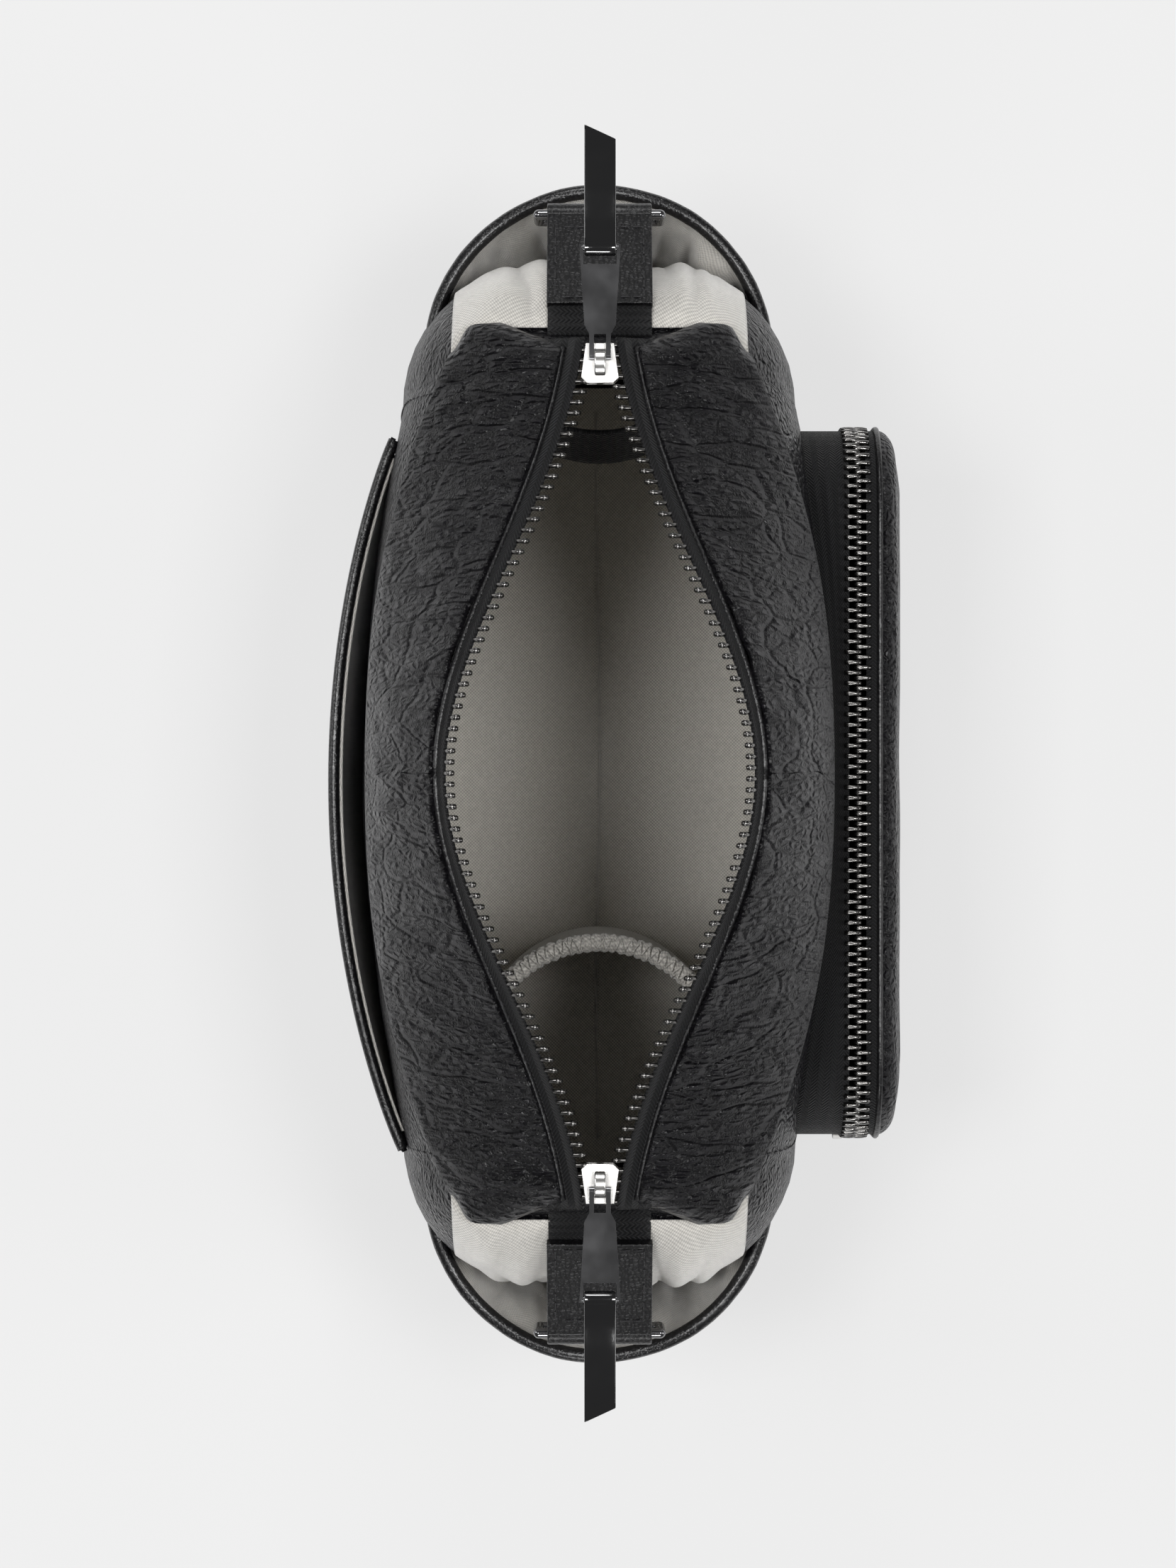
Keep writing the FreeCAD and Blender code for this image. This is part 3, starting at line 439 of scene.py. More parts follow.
def sheet_piece(name, across, along, place, finish_name, body, wrap=False, cloth=None):
    """A grid of points: place(i, j) gives a point for column i of `across` and row j of `along`."""
    points = []
    uvs = []
    for j in range(along):
        for i in range(across):
            point = place(i, j)
            points.append(point)
            uvs.append(cloth(i, j) if cloth else (point[0], point[2]))
    faces = []
    last = across if wrap else across - 1
    for j in range(along - 1):
        for i in range(last):
            k = (i + 1) % across
            faces.append((j * across + i, j * across + k, (j + 1) * across + k, (j + 1) * across + i))
    return mesh_piece(name, points, faces, finish_name, body, uvs)


def tube_points(path, radius, sides, closed=False):
    """Points and faces of a round tube along a path of millimetre points."""
    rings = []
    count = len(path)
    up = Vector((0, 0, 1))
    for index, here in enumerate(path):
        before = path[(index - 1) % count] if closed or index > 0 else here
        after = path[(index + 1) % count] if closed or index < count - 1 else here
        along = (Vector(after) - Vector(before)).normalized()
        side = along.cross(up)
        if side.length < 0.01:
            side = along.cross(Vector((1, 0, 0)))
        side.normalize()
        lift = side.cross(along)
        width = radius(index / max(1, count - 1)) if callable(radius) else radius
        ring = []
        for k in range(sides):
            angle = math.tau * k / sides
            out = side * (math.cos(angle) * width)
            ring.append(Vector(here) + out + lift * (math.sin(angle) * width))
        rings.append(ring)
    points = [tuple(point) for ring in rings for point in ring]
    faces = []
    for j in range(count if closed else count - 1):
        n = (j + 1) % count
        for k in range(sides):
            m = (k + 1) % sides
            faces.append((j * sides + k, j * sides + m, n * sides + m, n * sides + k))
    if not closed:
        faces.append(tuple(range(sides - 1, -1, -1)))
        faces.append(tuple((count - 1) * sides + k for k in range(sides)))
    return points, faces


def tube_piece(name, path, radius, finish_name, body, sides=14, closed=False):
    """A round tube along a path, whose radius is a number or changes along it."""
    points, faces = tube_points(path, radius, sides, closed)
    uvs = [(index // sides * 1.0, index % sides * 1.0) for index in range(len(points))]
    return mesh_piece(name, points, faces, finish_name, body, uvs)


def finished_copy(node, finish_name, body, width):
    """A CAD node's own shape with rounded edges and a finish, standing for the node."""
    source = frame["nodes"][node]
    mesh = source.data.copy()
    mesh.materials.clear()
    mesh.materials.append(finish(finish_name))
    work = bmesh.new()
    work.from_mesh(mesh)
    bmesh.ops.remove_doubles(work, verts=work.verts, dist=0.00001)
    bmesh.ops.dissolve_limit(work, angle_limit=math.radians(1.0), verts=work.verts, edges=work.edges)
    work.to_mesh(mesh)
    work.free()
    for polygon in mesh.polygons:
        polygon.use_smooth = True
    piece = bpy.data.objects.new(node + "_finish", mesh)
    bpy.context.scene.collection.objects.link(piece)
    piece.data.set_sharp_from_angle(angle=math.radians(35.0))
    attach(piece, body)
    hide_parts(node)
    return round_edges(piece, width)


def stitches(name, path, normal, body):
    """A row of raised stitches along a path, lying on a surface with the given outward direction."""
    step = size("stitch_length") / MM
    gap = size("stitch_gap") / MM
    radius = size("thread_radius") / MM
    points = []
    faces = []
    rise = Vector(normal) * 0.15
    for a, b in zip(path, path[1:]):
        a = Vector(a)
        b = Vector(b)
        span = (b - a).length
        position = gap / 2.0
        while position + step < span:
            here = a.lerp(b, position / span)
            there = a.lerp(b, (position + step) / span)
            stitch = [here, here.lerp(there, 0.5) + rise, there]
            new_points, new_faces = tube_points(stitch, radius, 5)
            base = len(points)
            points.extend(new_points)
            faces.extend([tuple(index + base for index in face) for face in new_faces])
            position += step + gap
    return mesh_piece(name, points, faces, "thread", body)


def level_at(z):
    """Half length, corner depth, half depth, corner place and end flat of the body at one height."""
    levels = BODY_LEVELS
    z = min(max(z, levels[0][0]), levels[-1][0])
    index = 0
    while index < len(levels) - 2 and z > levels[index + 1][0]:
        index += 1
    low = levels[index]
    high = levels[index + 1]
    t = (z - low[0]) / (high[0] - low[0])
    before = levels[max(0, index - 1)]
    after = levels[min(len(levels) - 1, index + 2)]
    result = []
    for k in range(1, 6):
        span = high[0] - low[0]
        slope_low = (high[k] - before[k]) / max(1.0, high[0] - before[0]) * span
        slope_high = (after[k] - low[k]) / max(1.0, after[0] - low[0]) * span
        if index == 0:
            slope_low = (high[k] - low[k]) * 1.5
        if index == len(levels) - 2:
            slope_high = (high[k] - low[k]) * 1.3
        t2 = t * t
        t3 = t2 * t
        value = (2 * t3 - 3 * t2 + 1) * low[k] + (t3 - 2 * t2 + t) * slope_low
        value += (-2 * t3 + 3 * t2) * high[k] + (t3 - t2) * slope_high
        result.append(value)
    return result


def arc_depth(x, corner_x, corner_y, half_depth):
    """Depth of the bowed front at one place: an arc through the corner and the middle."""
    sag = max(0.5, half_depth - corner_y)
    radius = (corner_x ** 2 + sag ** 2) / (2.0 * sag)
    return half_depth - radius + math.sqrt(radius ** 2 - min(x, corner_x) ** 2)


# Steps of a quarter of the body's outline along its end, its corner and its front.
QUARTER_END = 8
QUARTER_CORNER = 10
QUARTER_FRONT = 42
QUARTER = QUARTER_END + QUARTER_CORNER + QUARTER_FRONT


def quarter_point(k, z, grow):
    """One point of a quarter of the body's outline, from the end's middle to the front's middle."""
    half_length, corner_y, half_depth, corner_x, end_half = level_at(z)
    if k <= QUARTER_END:
        return half_length + grow, end_half * k / QUARTER_END
    if k <= QUARTER_END + QUARTER_CORNER:
        angle = math.pi / 2.0 * (k - QUARTER_END) / QUARTER_CORNER
        x = corner_x + (half_length + grow - corner_x) * math.cos(angle)
        return x, end_half + (corner_y + grow - end_half) * math.sin(angle)
    x = corner_x * (1.0 - (k - QUARTER_END - QUARTER_CORNER) / QUARTER_FRONT)
    return x, arc_depth(x, corner_x, corner_y + grow, half_depth + grow)


def outline_point(index, z, grow):
    """One of the outline's points, counted all the way round from the right end's middle."""
    count = 4 * QUARTER
    index %= count
    quadrant = index // QUARTER
    k = index % QUARTER
    if quadrant % 2 == 1:
        k = QUARTER - k
    x, y = quarter_point(k, z, grow)
    sign_x = 1.0 if quadrant in (0, 3) else -1.0
    sign_y = 1.0 if quadrant in (0, 1) else -1.0
    return sign_x * x, sign_y * y


def body_y(x, z):
    """Depth of the leather body's outside at one place on its front or back."""
    half_length, corner_y, half_depth, corner_x, end_half = level_at(z)
    if abs(x) <= corner_x:
        return arc_depth(abs(x), corner_x, corner_y, half_depth)
    share = min(1.0, (abs(x) - corner_x) / (half_length - corner_x))
    return end_half + (corner_y - end_half) * math.sqrt(1.0 - share * share)


def end_x(y, z):
    """Where the body's end wall is at one place across it."""
    half_length, corner_y, _, corner_x, end_half = level_at(z)
    share = min(1.0, max(0.0, abs(y) - end_half) / (corner_y - end_half))
    return corner_x + (half_length - corner_x) * math.sqrt(1.0 - share * share)


def inside_end(x, y, z):
    """The same place, drawn in where it would pass through the lining of the end wall."""
    limit = end_x(y, z) - LEATHER - LINING - 0.6
    return max(-limit, min(limit, x))


def shoulder_y(x):
    return arc_depth(abs(x), CORNER_X, SHOULDER_END_HALF_DEPTH, SHOULDER_HALF_DEPTH)


def flap_point(x, back, lift):
    """A point of the back flap: `back` runs down from the zip's centre line, `lift` is its height."""
    foot_p = SHOULDER_HALF_DEPTH - shoulder_y(x)
    edge_p = SHOULDER_HALF_DEPTH
    edge_q = SHOULDER_HALF_DEPTH * math.tan(CLOSED_ANGLE)
    slope = math.atan2(edge_q, edge_p - foot_p)
    p = edge_p - back * math.cos(slope) - lift * math.sin(slope)
    q = edge_q - back * math.sin(slope) + lift * math.cos(slope)
    turn = SWING * smooth((FLAP_FADE_X - abs(x)) / FLAP_FADE_X)
    out_p = p * math.cos(turn) - q * math.sin(turn)
    out_q = p * math.sin(turn) + q * math.cos(turn)
    return Vector((x, SHOULDER_HALF_DEPTH - out_p, SHOULDER_HEIGHT + out_q))


def flap_length(x):
    rise = SHOULDER_HALF_DEPTH * math.tan(CLOSED_ANGLE)
    return math.hypot(shoulder_y(x), rise)


def bend_flap(piece, side, end):
    """Bakes the placement of one half of a flap into its mesh."""
    end * FLAP_FADE_X * MM
    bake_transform(piece)
    return piece


def end_name(end):
    return "right" if end > 0 else "left"


def flipped(point, side, end):
    """Sets a point of the right back flap onto the flap and end that are wanted."""
    y = point[1] if side == "back" else -point[1]
    return (point[0] * end, y, point[2])


def make_body():
    """The leather body in one skin, with its four upright seams, soft dents and a rolled foot."""
    rows = 64
    count = 4 * QUARTER

    def place(i, j):
        z = 0.6 + (SHOULDER_HEIGHT - 0.6) * (j / (rows - 1)) ** 0.93
        x, y = outline_point(i, z, 0.0)
        foot = max(0.0, 1.0 - z / 5.0)
        broad = ripple(x / 46.0, y / 46.0, z / 58.0, 2.0) * 1.3
        dent = broad + ripple(x / 17.0, y / 17.0, z / 22.0, 5.0) * 0.5
        free = smooth((z - 4.0) / 25.0) * smooth((SHOULDER_HEIGHT - z) / 18.0)
        seam = math.exp(-((abs(x) - END_SEAM_X) / 1.1) ** 2) if abs(y) > 30.0 else 0.0
        inward = foot * foot * 2.5 + seam * 0.9 - dent * free * 0.8
        if j == rows - 1:
            inward += 4.0
            z += 1.2
        outward = Vector((x / 2.4, y, 0.0)).normalized()
        return x - outward.x * inward, y - outward.y * inward, z

    body = sheet_piece("body_leather", count, rows, place, "leather", "bag", wrap=True)
    thicken(body, 1.2)
    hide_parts("front_panel", "back_panel", "end_panel_right", "end_panel_left")

    base_rows = 14

    def base_place(i, j):
        share = j / (base_rows - 1)
        x, y = outline_point(i, 3.0, -2.4)
        return x * share, y * share, 0.0 if share < 0.97 else 0.8

    base = sheet_piece("base_leather", count, base_rows, base_place, "edge leather", "bag", wrap=True)
    thicken(base, 3.0)
    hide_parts("base_panel")
    for end in (-1.0, 1.0):
        for side in (-1.0, 1.0):
            path = []
            for k in range(40):
                z = 12.0 + 212.0 * k / 39.0
                x = end * (END_SEAM_X - 4.0)
                path.append((x, side * (body_y(x, z) + 0.1), z))
            stitches("seam_stitch_%d_%d" % (end + 2, side + 2), path, (0, side, 0), "bag")


def make_lining():
    """The woven lining: walls with slack folds, a floor, and the seam up the middle of the bag."""
    count = 4 * QUARTER
    rows = 40

    def place(i, j):
        z = 4.2 + (SHOULDER_HEIGHT - 4.8) * j / (rows - 1)
        x, y = outline_point(i, z, -LEATHER - 0.35)
        slack = ripple(x / 24.0, y / 20.0, z / 60.0, 9.0) * 0.7 + 0.5
        fade = smooth((SHOULDER_HEIGHT - z) / 14.0)
        outward = Vector((x / 2.4, y, 0.0)).normalized()
        inward = max(0.0, slack) * fade
        return x - outward.x * inward, y - outward.y * inward, z

    def cloth(i, j):
        return i * 3.6, j * 5.8

    walls = sheet_piece("lining_walls_cloth", count, rows, place, "lining", "bag", wrap=True, cloth=cloth)
    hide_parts("lining_walls")
    half_x = 128.0
    half_y = 56.0
    floor_columns = 71
    floor_rows = 41

    def floor_place(i, j):
        x = half_x * (2.0 * i / (floor_columns - 1) - 1.0)
        y = half_y * (2.0 * j / (floor_rows - 1) - 1.0)
        keep_in = max(0.0, abs(x) - 112.0) * 0.55
        y = max(-half_y + keep_in, min(half_y - keep_in, y))
        swell = 0.5 + ripple(x / 30.0, y / 24.0, 0.0, 4.0) * 0.5
        slope = 13.0 * (abs(y) / half_y) ** 1.1
        z = 4.6 + max(0.0, swell) + slope
        wall = body_y(x, z) - LEATHER - LINING - 0.6
        return x, max(-wall, min(wall, y)), z

    def floor_cloth(i, j):
        return i * half_x / 35.0, j * half_y / 20.0

    floor = sheet_piece(
        "lining_floor_cloth", floor_columns, floor_rows, floor_place, "lining", "bag", cloth=floor_cloth)
    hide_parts("lining_floor")
    seam_path = []
    for k in range(60):
        seam_path.append((-120.0 + 240.0 * k / 59.0, 0.6 * math.sin(k / 7.0), 5.5))
    tube_piece("floor_seam", seam_path, 0.5, "pocket lining", "bag", sides=8)


def flap_wrinkle(x, back, length):
    """Creases that run across the top panel from the zip to the shoulder."""
    across = smooth(back / 14.0) * smooth((length - back) / 9.0)
    bend = ripple(x / 30.0, back / 40.0, 0.0, 3.0) * 9.0
    fold = ripple((x + bend) / 8.5, back / 34.0, 1.0, 6.0)
    small = ripple((x + bend * 1.5) / 3.6, back / 15.0, 4.0, 8.0)
    return (fold * 0.75 + small * 0.4) * across * size("wrinkle_depth") / MM


def flap_end(share):
    """Where the top panel's end edge lies: short at the zip, puffed out towards the shoulder."""
    return 119.0 + 7.0 * smooth(share / 0.7) - 8.0 * smooth((share - 0.76) / 0.24)


def end_drop(x, edge):
    """The top's end edge rolls over and down."""
    past = max(0.0, abs(x) - edge + 5.5) / 5.5
    return 6.5 * (1.0 - math.sqrt(max(0.0, 1.0 - min(1.0, past) ** 2)))


def make_flap_sheet(
        name, side, end, near, far, lift, finish_name, columns, rows, wrinkled, thickness, reach):
    """One half of a flap's sheet between two distances from the zip's centre line."""

    def place(i, j):
        share = j / (rows - 1)
        edge = flap_end(share) if wrinkled else reach
        x = edge * i / (columns - 1)
        length = flap_length(x) - (0.0 if wrinkled else 4.0) if far is None else far
        back = mix(near, length, share)
        crown = 0.0
        if wrinkled:
            crown = FLAP_CROWN * 4.0 * share * (1.0 - share) + flap_wrinkle(x * end, back, length)
        point = flap_point(min(x, FLAP_END_X + 5.0), back, lift + crown)
        if wrinkled:
            point.z -= end_drop(x, edge)
        return flipped(point, side, end)

    def cloth(i, j):
        return end * reach * i / (columns - 1), j * 1.1 * ((far or 60.0) - near) / rows

    piece = sheet_piece(name, columns, rows, place, finish_name, None, cloth=cloth)
    if (side == "back") == (end > 0):
        piece.data.flip_normals()
    thicken(piece, thickness)
    return bend_flap(piece, side, end)


def make_tooth(x, root, head, low, high, half):
    """Points and faces of one zip tooth: a waisted body and a rounded head that hooks over."""
    stations = [
        (root, 0.85, 0.8),
        (mix(root, head, 0.25), 0.95, 0.96),
        (mix(root, head, 0.55), 0.78, 1.0),
        (mix(root, head, 0.82), 1.0, 0.92),
        (head, 0.72, 0.6),
    ]
    middle = (low + high) / 2.0
    tall = (high - low) / 2.0
    rings = []
    for back, wide, high_share in stations:
        ring = []
        for k in range(8):
            angle = math.tau * (k + 0.5) / 8.0
            across = math.copysign(abs(math.cos(angle)) ** 0.6, math.cos(angle)) * half * wide
            up = math.copysign(abs(math.sin(angle)) ** 0.6, math.sin(angle)) * tall * high_share
            ring.append((x + across, back, middle + up))
        rings.append(ring)
    points = [point for ring in rings for point in ring]
    faces = [tuple(range(7, -1, -1)), tuple(4 * 8 + k for k in range(8))]
    for j in range(4):
        for k in range(8):
            m = (k + 1) % 8
            faces.append((j * 8 + k, j * 8 + m, (j + 1) * 8 + m, (j + 1) * 8 + k))
    return points, faces


def make_flap_teeth(side, end):
    """Half a row of teeth along the open mouth's edge."""
    points = []
    faces = []
    offset = 0.0 if side == "back" else 0.5
    root = TAPE_EDGE + 1.0
    head = root - TOOTH_DEPTH - 1.0
    for index in range(40):
        x = (index + offset) * TOOTH_PITCH
        if x > FLAP_END_X - 1.0 or (index == 0 and end < 0 and side == "back"):
            continue
        tooth_points, tooth_faces = make_tooth(x, root, head, -1.75, 0.85, 0.78)
        base = len(points)
        for px, back, lift in tooth_points:
            local = flap_point(x, back, lift)
            points.append(flipped((px, local.y, local.z), side, end))
        faces.extend([tuple(k + base for k in face) for face in tooth_faces])
    name = "zip_teeth_%s_%s" % (side, end_name(end))
    piece = mesh_piece(name, points, faces, "teeth", None)
    return bend_flap(piece, side, end)


# Nodes that a flap's pieces stand for, with the flat size in metres of half a sheet.
FLAP_NODES = (
    ("top_panel_", (0.133, 0.057)),
    ("zip_tape_", (0.128, 0.011)),
    ("top_lining_", (0.128, 0.058)),
    ("zip_teeth_", None),
)


def make_mouth():
    """The two flaps of the open top: leather, tape, lining, welt and teeth."""
    for side in ("back", "front"):
        made = {}
        for end in (1.0, -1.0):
            tag = side + "_" + end_name(end)
            leather = make_flap_sheet(
                "top_leather_" + tag, side, end, TAPE_EDGE + TAPE_SHOW - 0.6, None, LEATHER + 0.1,
                "top leather", 100, 46, True, 1.5, 125.0)
            tape = make_flap_sheet(
                "zip_tape_" + tag, side, end, TAPE_EDGE - 0.4, TAPE_EDGE + TAPE_SHOW + 5.0, 0.0,
                "tape", 60, 8, False, TAPE, FLAP_END_X + 0.5)
            lining = make_flap_sheet(
                "top_lining_" + tag, side, end, TAPE_EDGE + 3.0, None, -TAPE - 0.1,
                "lining", 60, 24, False, 0.5, FLAP_END_X - 6.0)
            teeth = make_flap_teeth(side, end)
            welt_path = []
            for k in range(60):
                x = (FLAP_END_X - 2.0) * k / 59.0
                welt_path.append(flipped(flap_point(x, TAPE_EDGE + TAPE_SHOW - 0.4, 1.0), side, end))
            welt = tube_piece("welt_" + tag, welt_path, 0.95, "edge leather", None, sides=10)
            bend_flap(welt, side, end)
            made[end] = (leather, tape, lining, teeth)
        for pieces, (node, flat) in zip(zip(made[1.0], made[-1.0]), FLAP_NODES):
            for piece, end in zip(pieces, (1.0, -1.0)):
                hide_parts(node + side)
                if flat:
                    carrier = "top_leather_%s_%s" % (side, end_name(end))
                    if node == "top_panel_":
                        carrier = "body_leather"


def make_end_gables():
    """The folded leather that closes each end of the top under the zip's end."""
    columns = 41
    rows = 13
    for end in (1.0, -1.0):
        tag = end_name(end)

        def place(i, j):
            t = 2.0 * i / (columns - 1) - 1.0
            share = j / (rows - 1)
            y_top = t * (SHOULDER_END_HALF_DEPTH - 1.0)
            back = abs(y_top)
            point = flap_point(FLAP_END_X + 2.5, back, 0.2)
            top_z = point.z - 4.5
            z = mix(SHOULDER_HEIGHT - 4.0, max(SHOULDER_HEIGHT - 3.5, top_z), share)
            x = mix(SHOULDER_HALF_LENGTH + 0.6, flap_end(back / 46.0) - 2.5, share)
            x -= max(0.0, back - END_HALF) * 0.55 * (1.0 - share)
            puff = ripple(y_top / 11.0, z / 9.0, end, 3.0) * 0.7 * math.sin(math.pi * share)
            return end * (x + puff), y_top, z

        gable = sheet_piece("end_gable_leather_" + tag, columns, rows, place, "leather", "bag")
        if end < 0:
            gable.data.flip_normals()
        thicken(gable, 1.4)
        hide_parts("end_gable_" + tag)


# Height, centre and radius of the side pockets' half round, and their furthest reach in degrees.
SIDE_LEVELS = [(12.0, 104.0, 48.0), (91.0, 117.0, 49.5), (170.0, 122.0, 51.0)]
SIDE_LEAST_REACH = 35
SIDE_MOST_REACH = 101


def side_level(z):
    """Centre and radius of a side pocket's half round at one height."""
    (z0, x0, r0), (z1, x1, r1), (z2, x2, r2) = SIDE_LEVELS
    a = (z - z1) * (z - z2) / ((z0 - z1) * (z0 - z2))
    b = (z - z0) * (z - z2) / ((z1 - z0) * (z1 - z2))
    c = (z - z0) * (z - z1) / ((z2 - z0) * (z2 - z1))
    return a * x0 + b * x1 + c * x2, a * r0 + b * r1 + c * r2


def side_reach(z):
    """How far round, in degrees, a side pocket's wall runs before it is inside the body's leather."""
    centre, radius = side_level(z)
    for half_degrees in range(2 * SIDE_LEAST_REACH, 2 * SIDE_MOST_REACH):
        angle = math.radians(half_degrees / 2.0)
        if centre + radius * math.cos(angle) < end_x(radius * math.sin(angle), z) - 1.2:
            return half_degrees / 2.0
    return float(SIDE_MOST_REACH)


def make_side_pocket(end):
    """A gaping end pocket: leather outside, slack twill lining inside, and a rolled rim."""
    tag = end_name(end)
    columns = 90
    rows = 44
    foot = SIDE_LEVELS[0][0]
    rim = SIDE_LEVELS[2][0]

    reaches = {}

    def half_round(i, z, inset):
        centre, radius = side_level(z)
        if z not in reaches:
            reaches[z] = side_reach(z)
        angle = math.radians(mix(-reaches[z], reaches[z], i / (columns - 1)))
        return centre + (radius - inset) * math.cos(angle), (radius - inset) * math.sin(angle)

    def outer_place(i, j):
        z = mix(foot - 6.0, rim + 0.6, j / (rows - 1))
        x, y = half_round(i, max(z, foot), 0.0)
        dent = ripple(x / 40.0, y / 26.0, z / 34.0, 12.0 + end) * 1.6
        curl = max(0.0, 1.0 - (z - foot + 6.0) / 8.0)
        x -= curl * curl * 7.0
        fade = smooth((rim - z) / 20.0)
        return end * (x - max(0.0, dent) * fade), y, z

    panel = sheet_piece("side_pocket_leather_" + tag, columns, rows, outer_place, "leather", "bag")
    if end < 0:
        panel.data.flip_normals()
    thicken(panel, 1.5)
    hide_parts("side_pocket_panel_" + tag)

    def inner_place(i, j):
        z = mix(foot + 3.0, rim + 0.8, j / (rows - 1))
        x, y = half_round(i, z, LEATHER + 0.5)
        angle = math.atan2(y, x - side_level(z)[0])
        fold = abs(ripple(angle * 3.4, z / 60.0, 2.0, 21.0 + end)) * 6.0
        fold += abs(ripple(angle * 9.0, z / 26.0, 3.0, 23.0)) * 2.4
        funnel = 6.5 * smooth((rim - z) / 55.0)
        fade = smooth((rim - z) / 12.0)
        inward = funnel + fold * fade
        x -= inward * math.cos(angle)
        y -= inward * math.sin(angle)
        return end * x, y, z

    def cloth(i, j):
        return i * 1.85, j * 3.6

    outer_cloth = sheet_piece(
        "side_pocket_cloth_" + tag, columns, rows, inner_place, "pocket lining", "bag", cloth=cloth)
    if end > 0:
        outer_cloth.data.flip_normals()
    thicken(outer_cloth, 0.5)

    shoulder = SHOULDER_HEIGHT - 0.4

    def body_side_place(i, j):
        z = mix(foot + 3.0, shoulder, j / (rows - 1))
        half = mix(28.0, 38.0, smooth((z - foot) / 80.0)) + 4.0 * smooth((z - 150.0) / 25.0)
        y = mix(-half, half, i / (columns - 1))
        x = end_x(y, z)
        fold = abs(ripple(y / 9.0, z / 60.0, 5.0, 31.0 + end)) * 4.5 + 0.9
        held = smooth((shoulder - z) / 12.0) * (1.0 - smooth((abs(y) - 28.0) / 11.0))
        return end * (x + fold * held + 0.9), y, z

    def body_cloth(i, j):
        return i * 1.05, j * 4.6

    inner_cloth = sheet_piece(
        "side_pocket_back_cloth_" + tag, columns, rows, body_side_place,
        "pocket lining", "bag", cloth=body_cloth)
    if end < 0:
        inner_cloth.data.flip_normals()
    thicken(inner_cloth, 0.5)
    for piece in (outer_cloth, inner_cloth):
        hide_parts("side_pocket_lining_" + tag)
    path = []
    centre, radius = side_level(rim)
    rim_reach = side_reach(rim) + 1.0
    for k in range(70):
        angle = math.radians(mix(-rim_reach, rim_reach, k / 69.0))
        wobble = ripple(angle * 2.0, 1.0, 1.0, 41.0 + end) * 0.8
        x = centre + (radius - 1.35 + wobble * 0.4) * math.cos(angle)
        y = (radius - 1.35 + wobble * 0.4) * math.sin(angle)
        path.append((end * x, y, rim + 0.4 + wobble))

    def piping(share):
        return 2.1 + 0.12 * ripple(share * 30.0, 2.0, 5.0, 2.0)

    rim_piece = tube_piece("side_pocket_rim_" + tag, path, piping, "rolled leather", "bag", sides=16)
    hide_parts("side_pocket_piping_" + tag)


def strip_along(name, start, finish_point, width, thick, finish_name, body, bow=0.0, columns=24, rows=14):
    """A flat strip of material between two places, across Y, with a slight bow along its length."""
    start = Vector(start)
    stop = Vector(finish_point)
    along = (stop - start).normalized()
    normal = Vector((0, 1, 0)).cross(along) * -1.0
    if normal.z < 0:
        normal = -normal

    def place(i, j):
        t = j / (rows - 1)
        y = width * (i / (columns - 1) - 0.5)
        centre = start.lerp(stop, t) + normal * (bow * math.sin(math.pi * t))
        edge = 1.0 - abs(2.0 * i / (columns - 1) - 1.0)
        centre += normal * min(0.0, edge * 6.0 - 0.4) * 0.6
        return centre.x, y, centre.z

    def cloth(i, j):
        return width * i / (columns - 1), (stop - start).length * j / (rows - 1)

    piece = sheet_piece(name, columns, rows, place, finish_name, body, cloth=cloth)
    thicken(piece, thick)
    return piece


ANCHOR_SEAM_Y = 12.6


def make_anchors():
    """The strap anchors: ribbed webbing, a stitched leather loop and a metal ring."""
    for end in (1.0, -1.0):
        tag = end_name(end)
        top = (end * 123.0, 0.0, 232.2)
        bar = (end * 160.0, 0.0, 204.4)
        webbing = strip_along("anchor_webbing_strip_" + tag, top, bar, 29.0, 1.2, "webbing", "bag")
        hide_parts("anchor_webbing_" + tag)
        loop_name = "anchor_loop_" + tag + "_finish"
        finished_copy("anchor_loop_" + tag, "edge leather", "bag", 0.7)
        finished_copy("strap_ring_" + tag, "gunmetal", "strap_ring_" + tag, 0.1)
        start = Vector((end * 124.5, 0.0, 231.0))
        stop = Vector((end * 161.0, 0.0, 203.0))
        along = (stop - start).normalized()
        lift = Vector((-along.z * end, 0.0, along.x * end)) * 2.65
        outward = lift.normalized()

        def on_loop(reach, y):
            return tuple(start + along * reach + lift + Vector((0, y, 0)))

        for side in (-1.0, 1.0):
            path = [on_loop(reach, side * ANCHOR_SEAM_Y) for reach in (11.0, 24.0, 40.0)]
            stitches("anchor_stitch_%s_%d" % (tag, side + 2), path, outward, "bag")
        for reach in (11.0, 38.5):
            path = [on_loop(reach, y) for y in (-ANCHOR_SEAM_Y, 0.0, ANCHOR_SEAM_Y)]
            stitches("anchor_cross_%s_%d" % (tag, reach), path, outward, "bag")


BACK_X = -6.0
BACK_HALF = 104.0
BACK_TOP = 190.0
BACK_FOOT = 22.0
BACK_GAP = 8.0


def back_pocket_y(x, z, inset):
    """Depth of the slip pocket's sheet: on the body at its ends, and standing off it in the middle."""
    share = (z - BACK_FOOT) / (BACK_TOP - BACK_FOOT)
    gap = BACK_GAP * (0.5 * share + 0.5 * share * share + 0.18 * math.sin(math.pi * share))
    across = max(0.0, 1.0 - ((x - BACK_X) / BACK_HALF) ** 2)
    return body_y(x, z) + gap * across ** 0.8 + LEATHER - inset


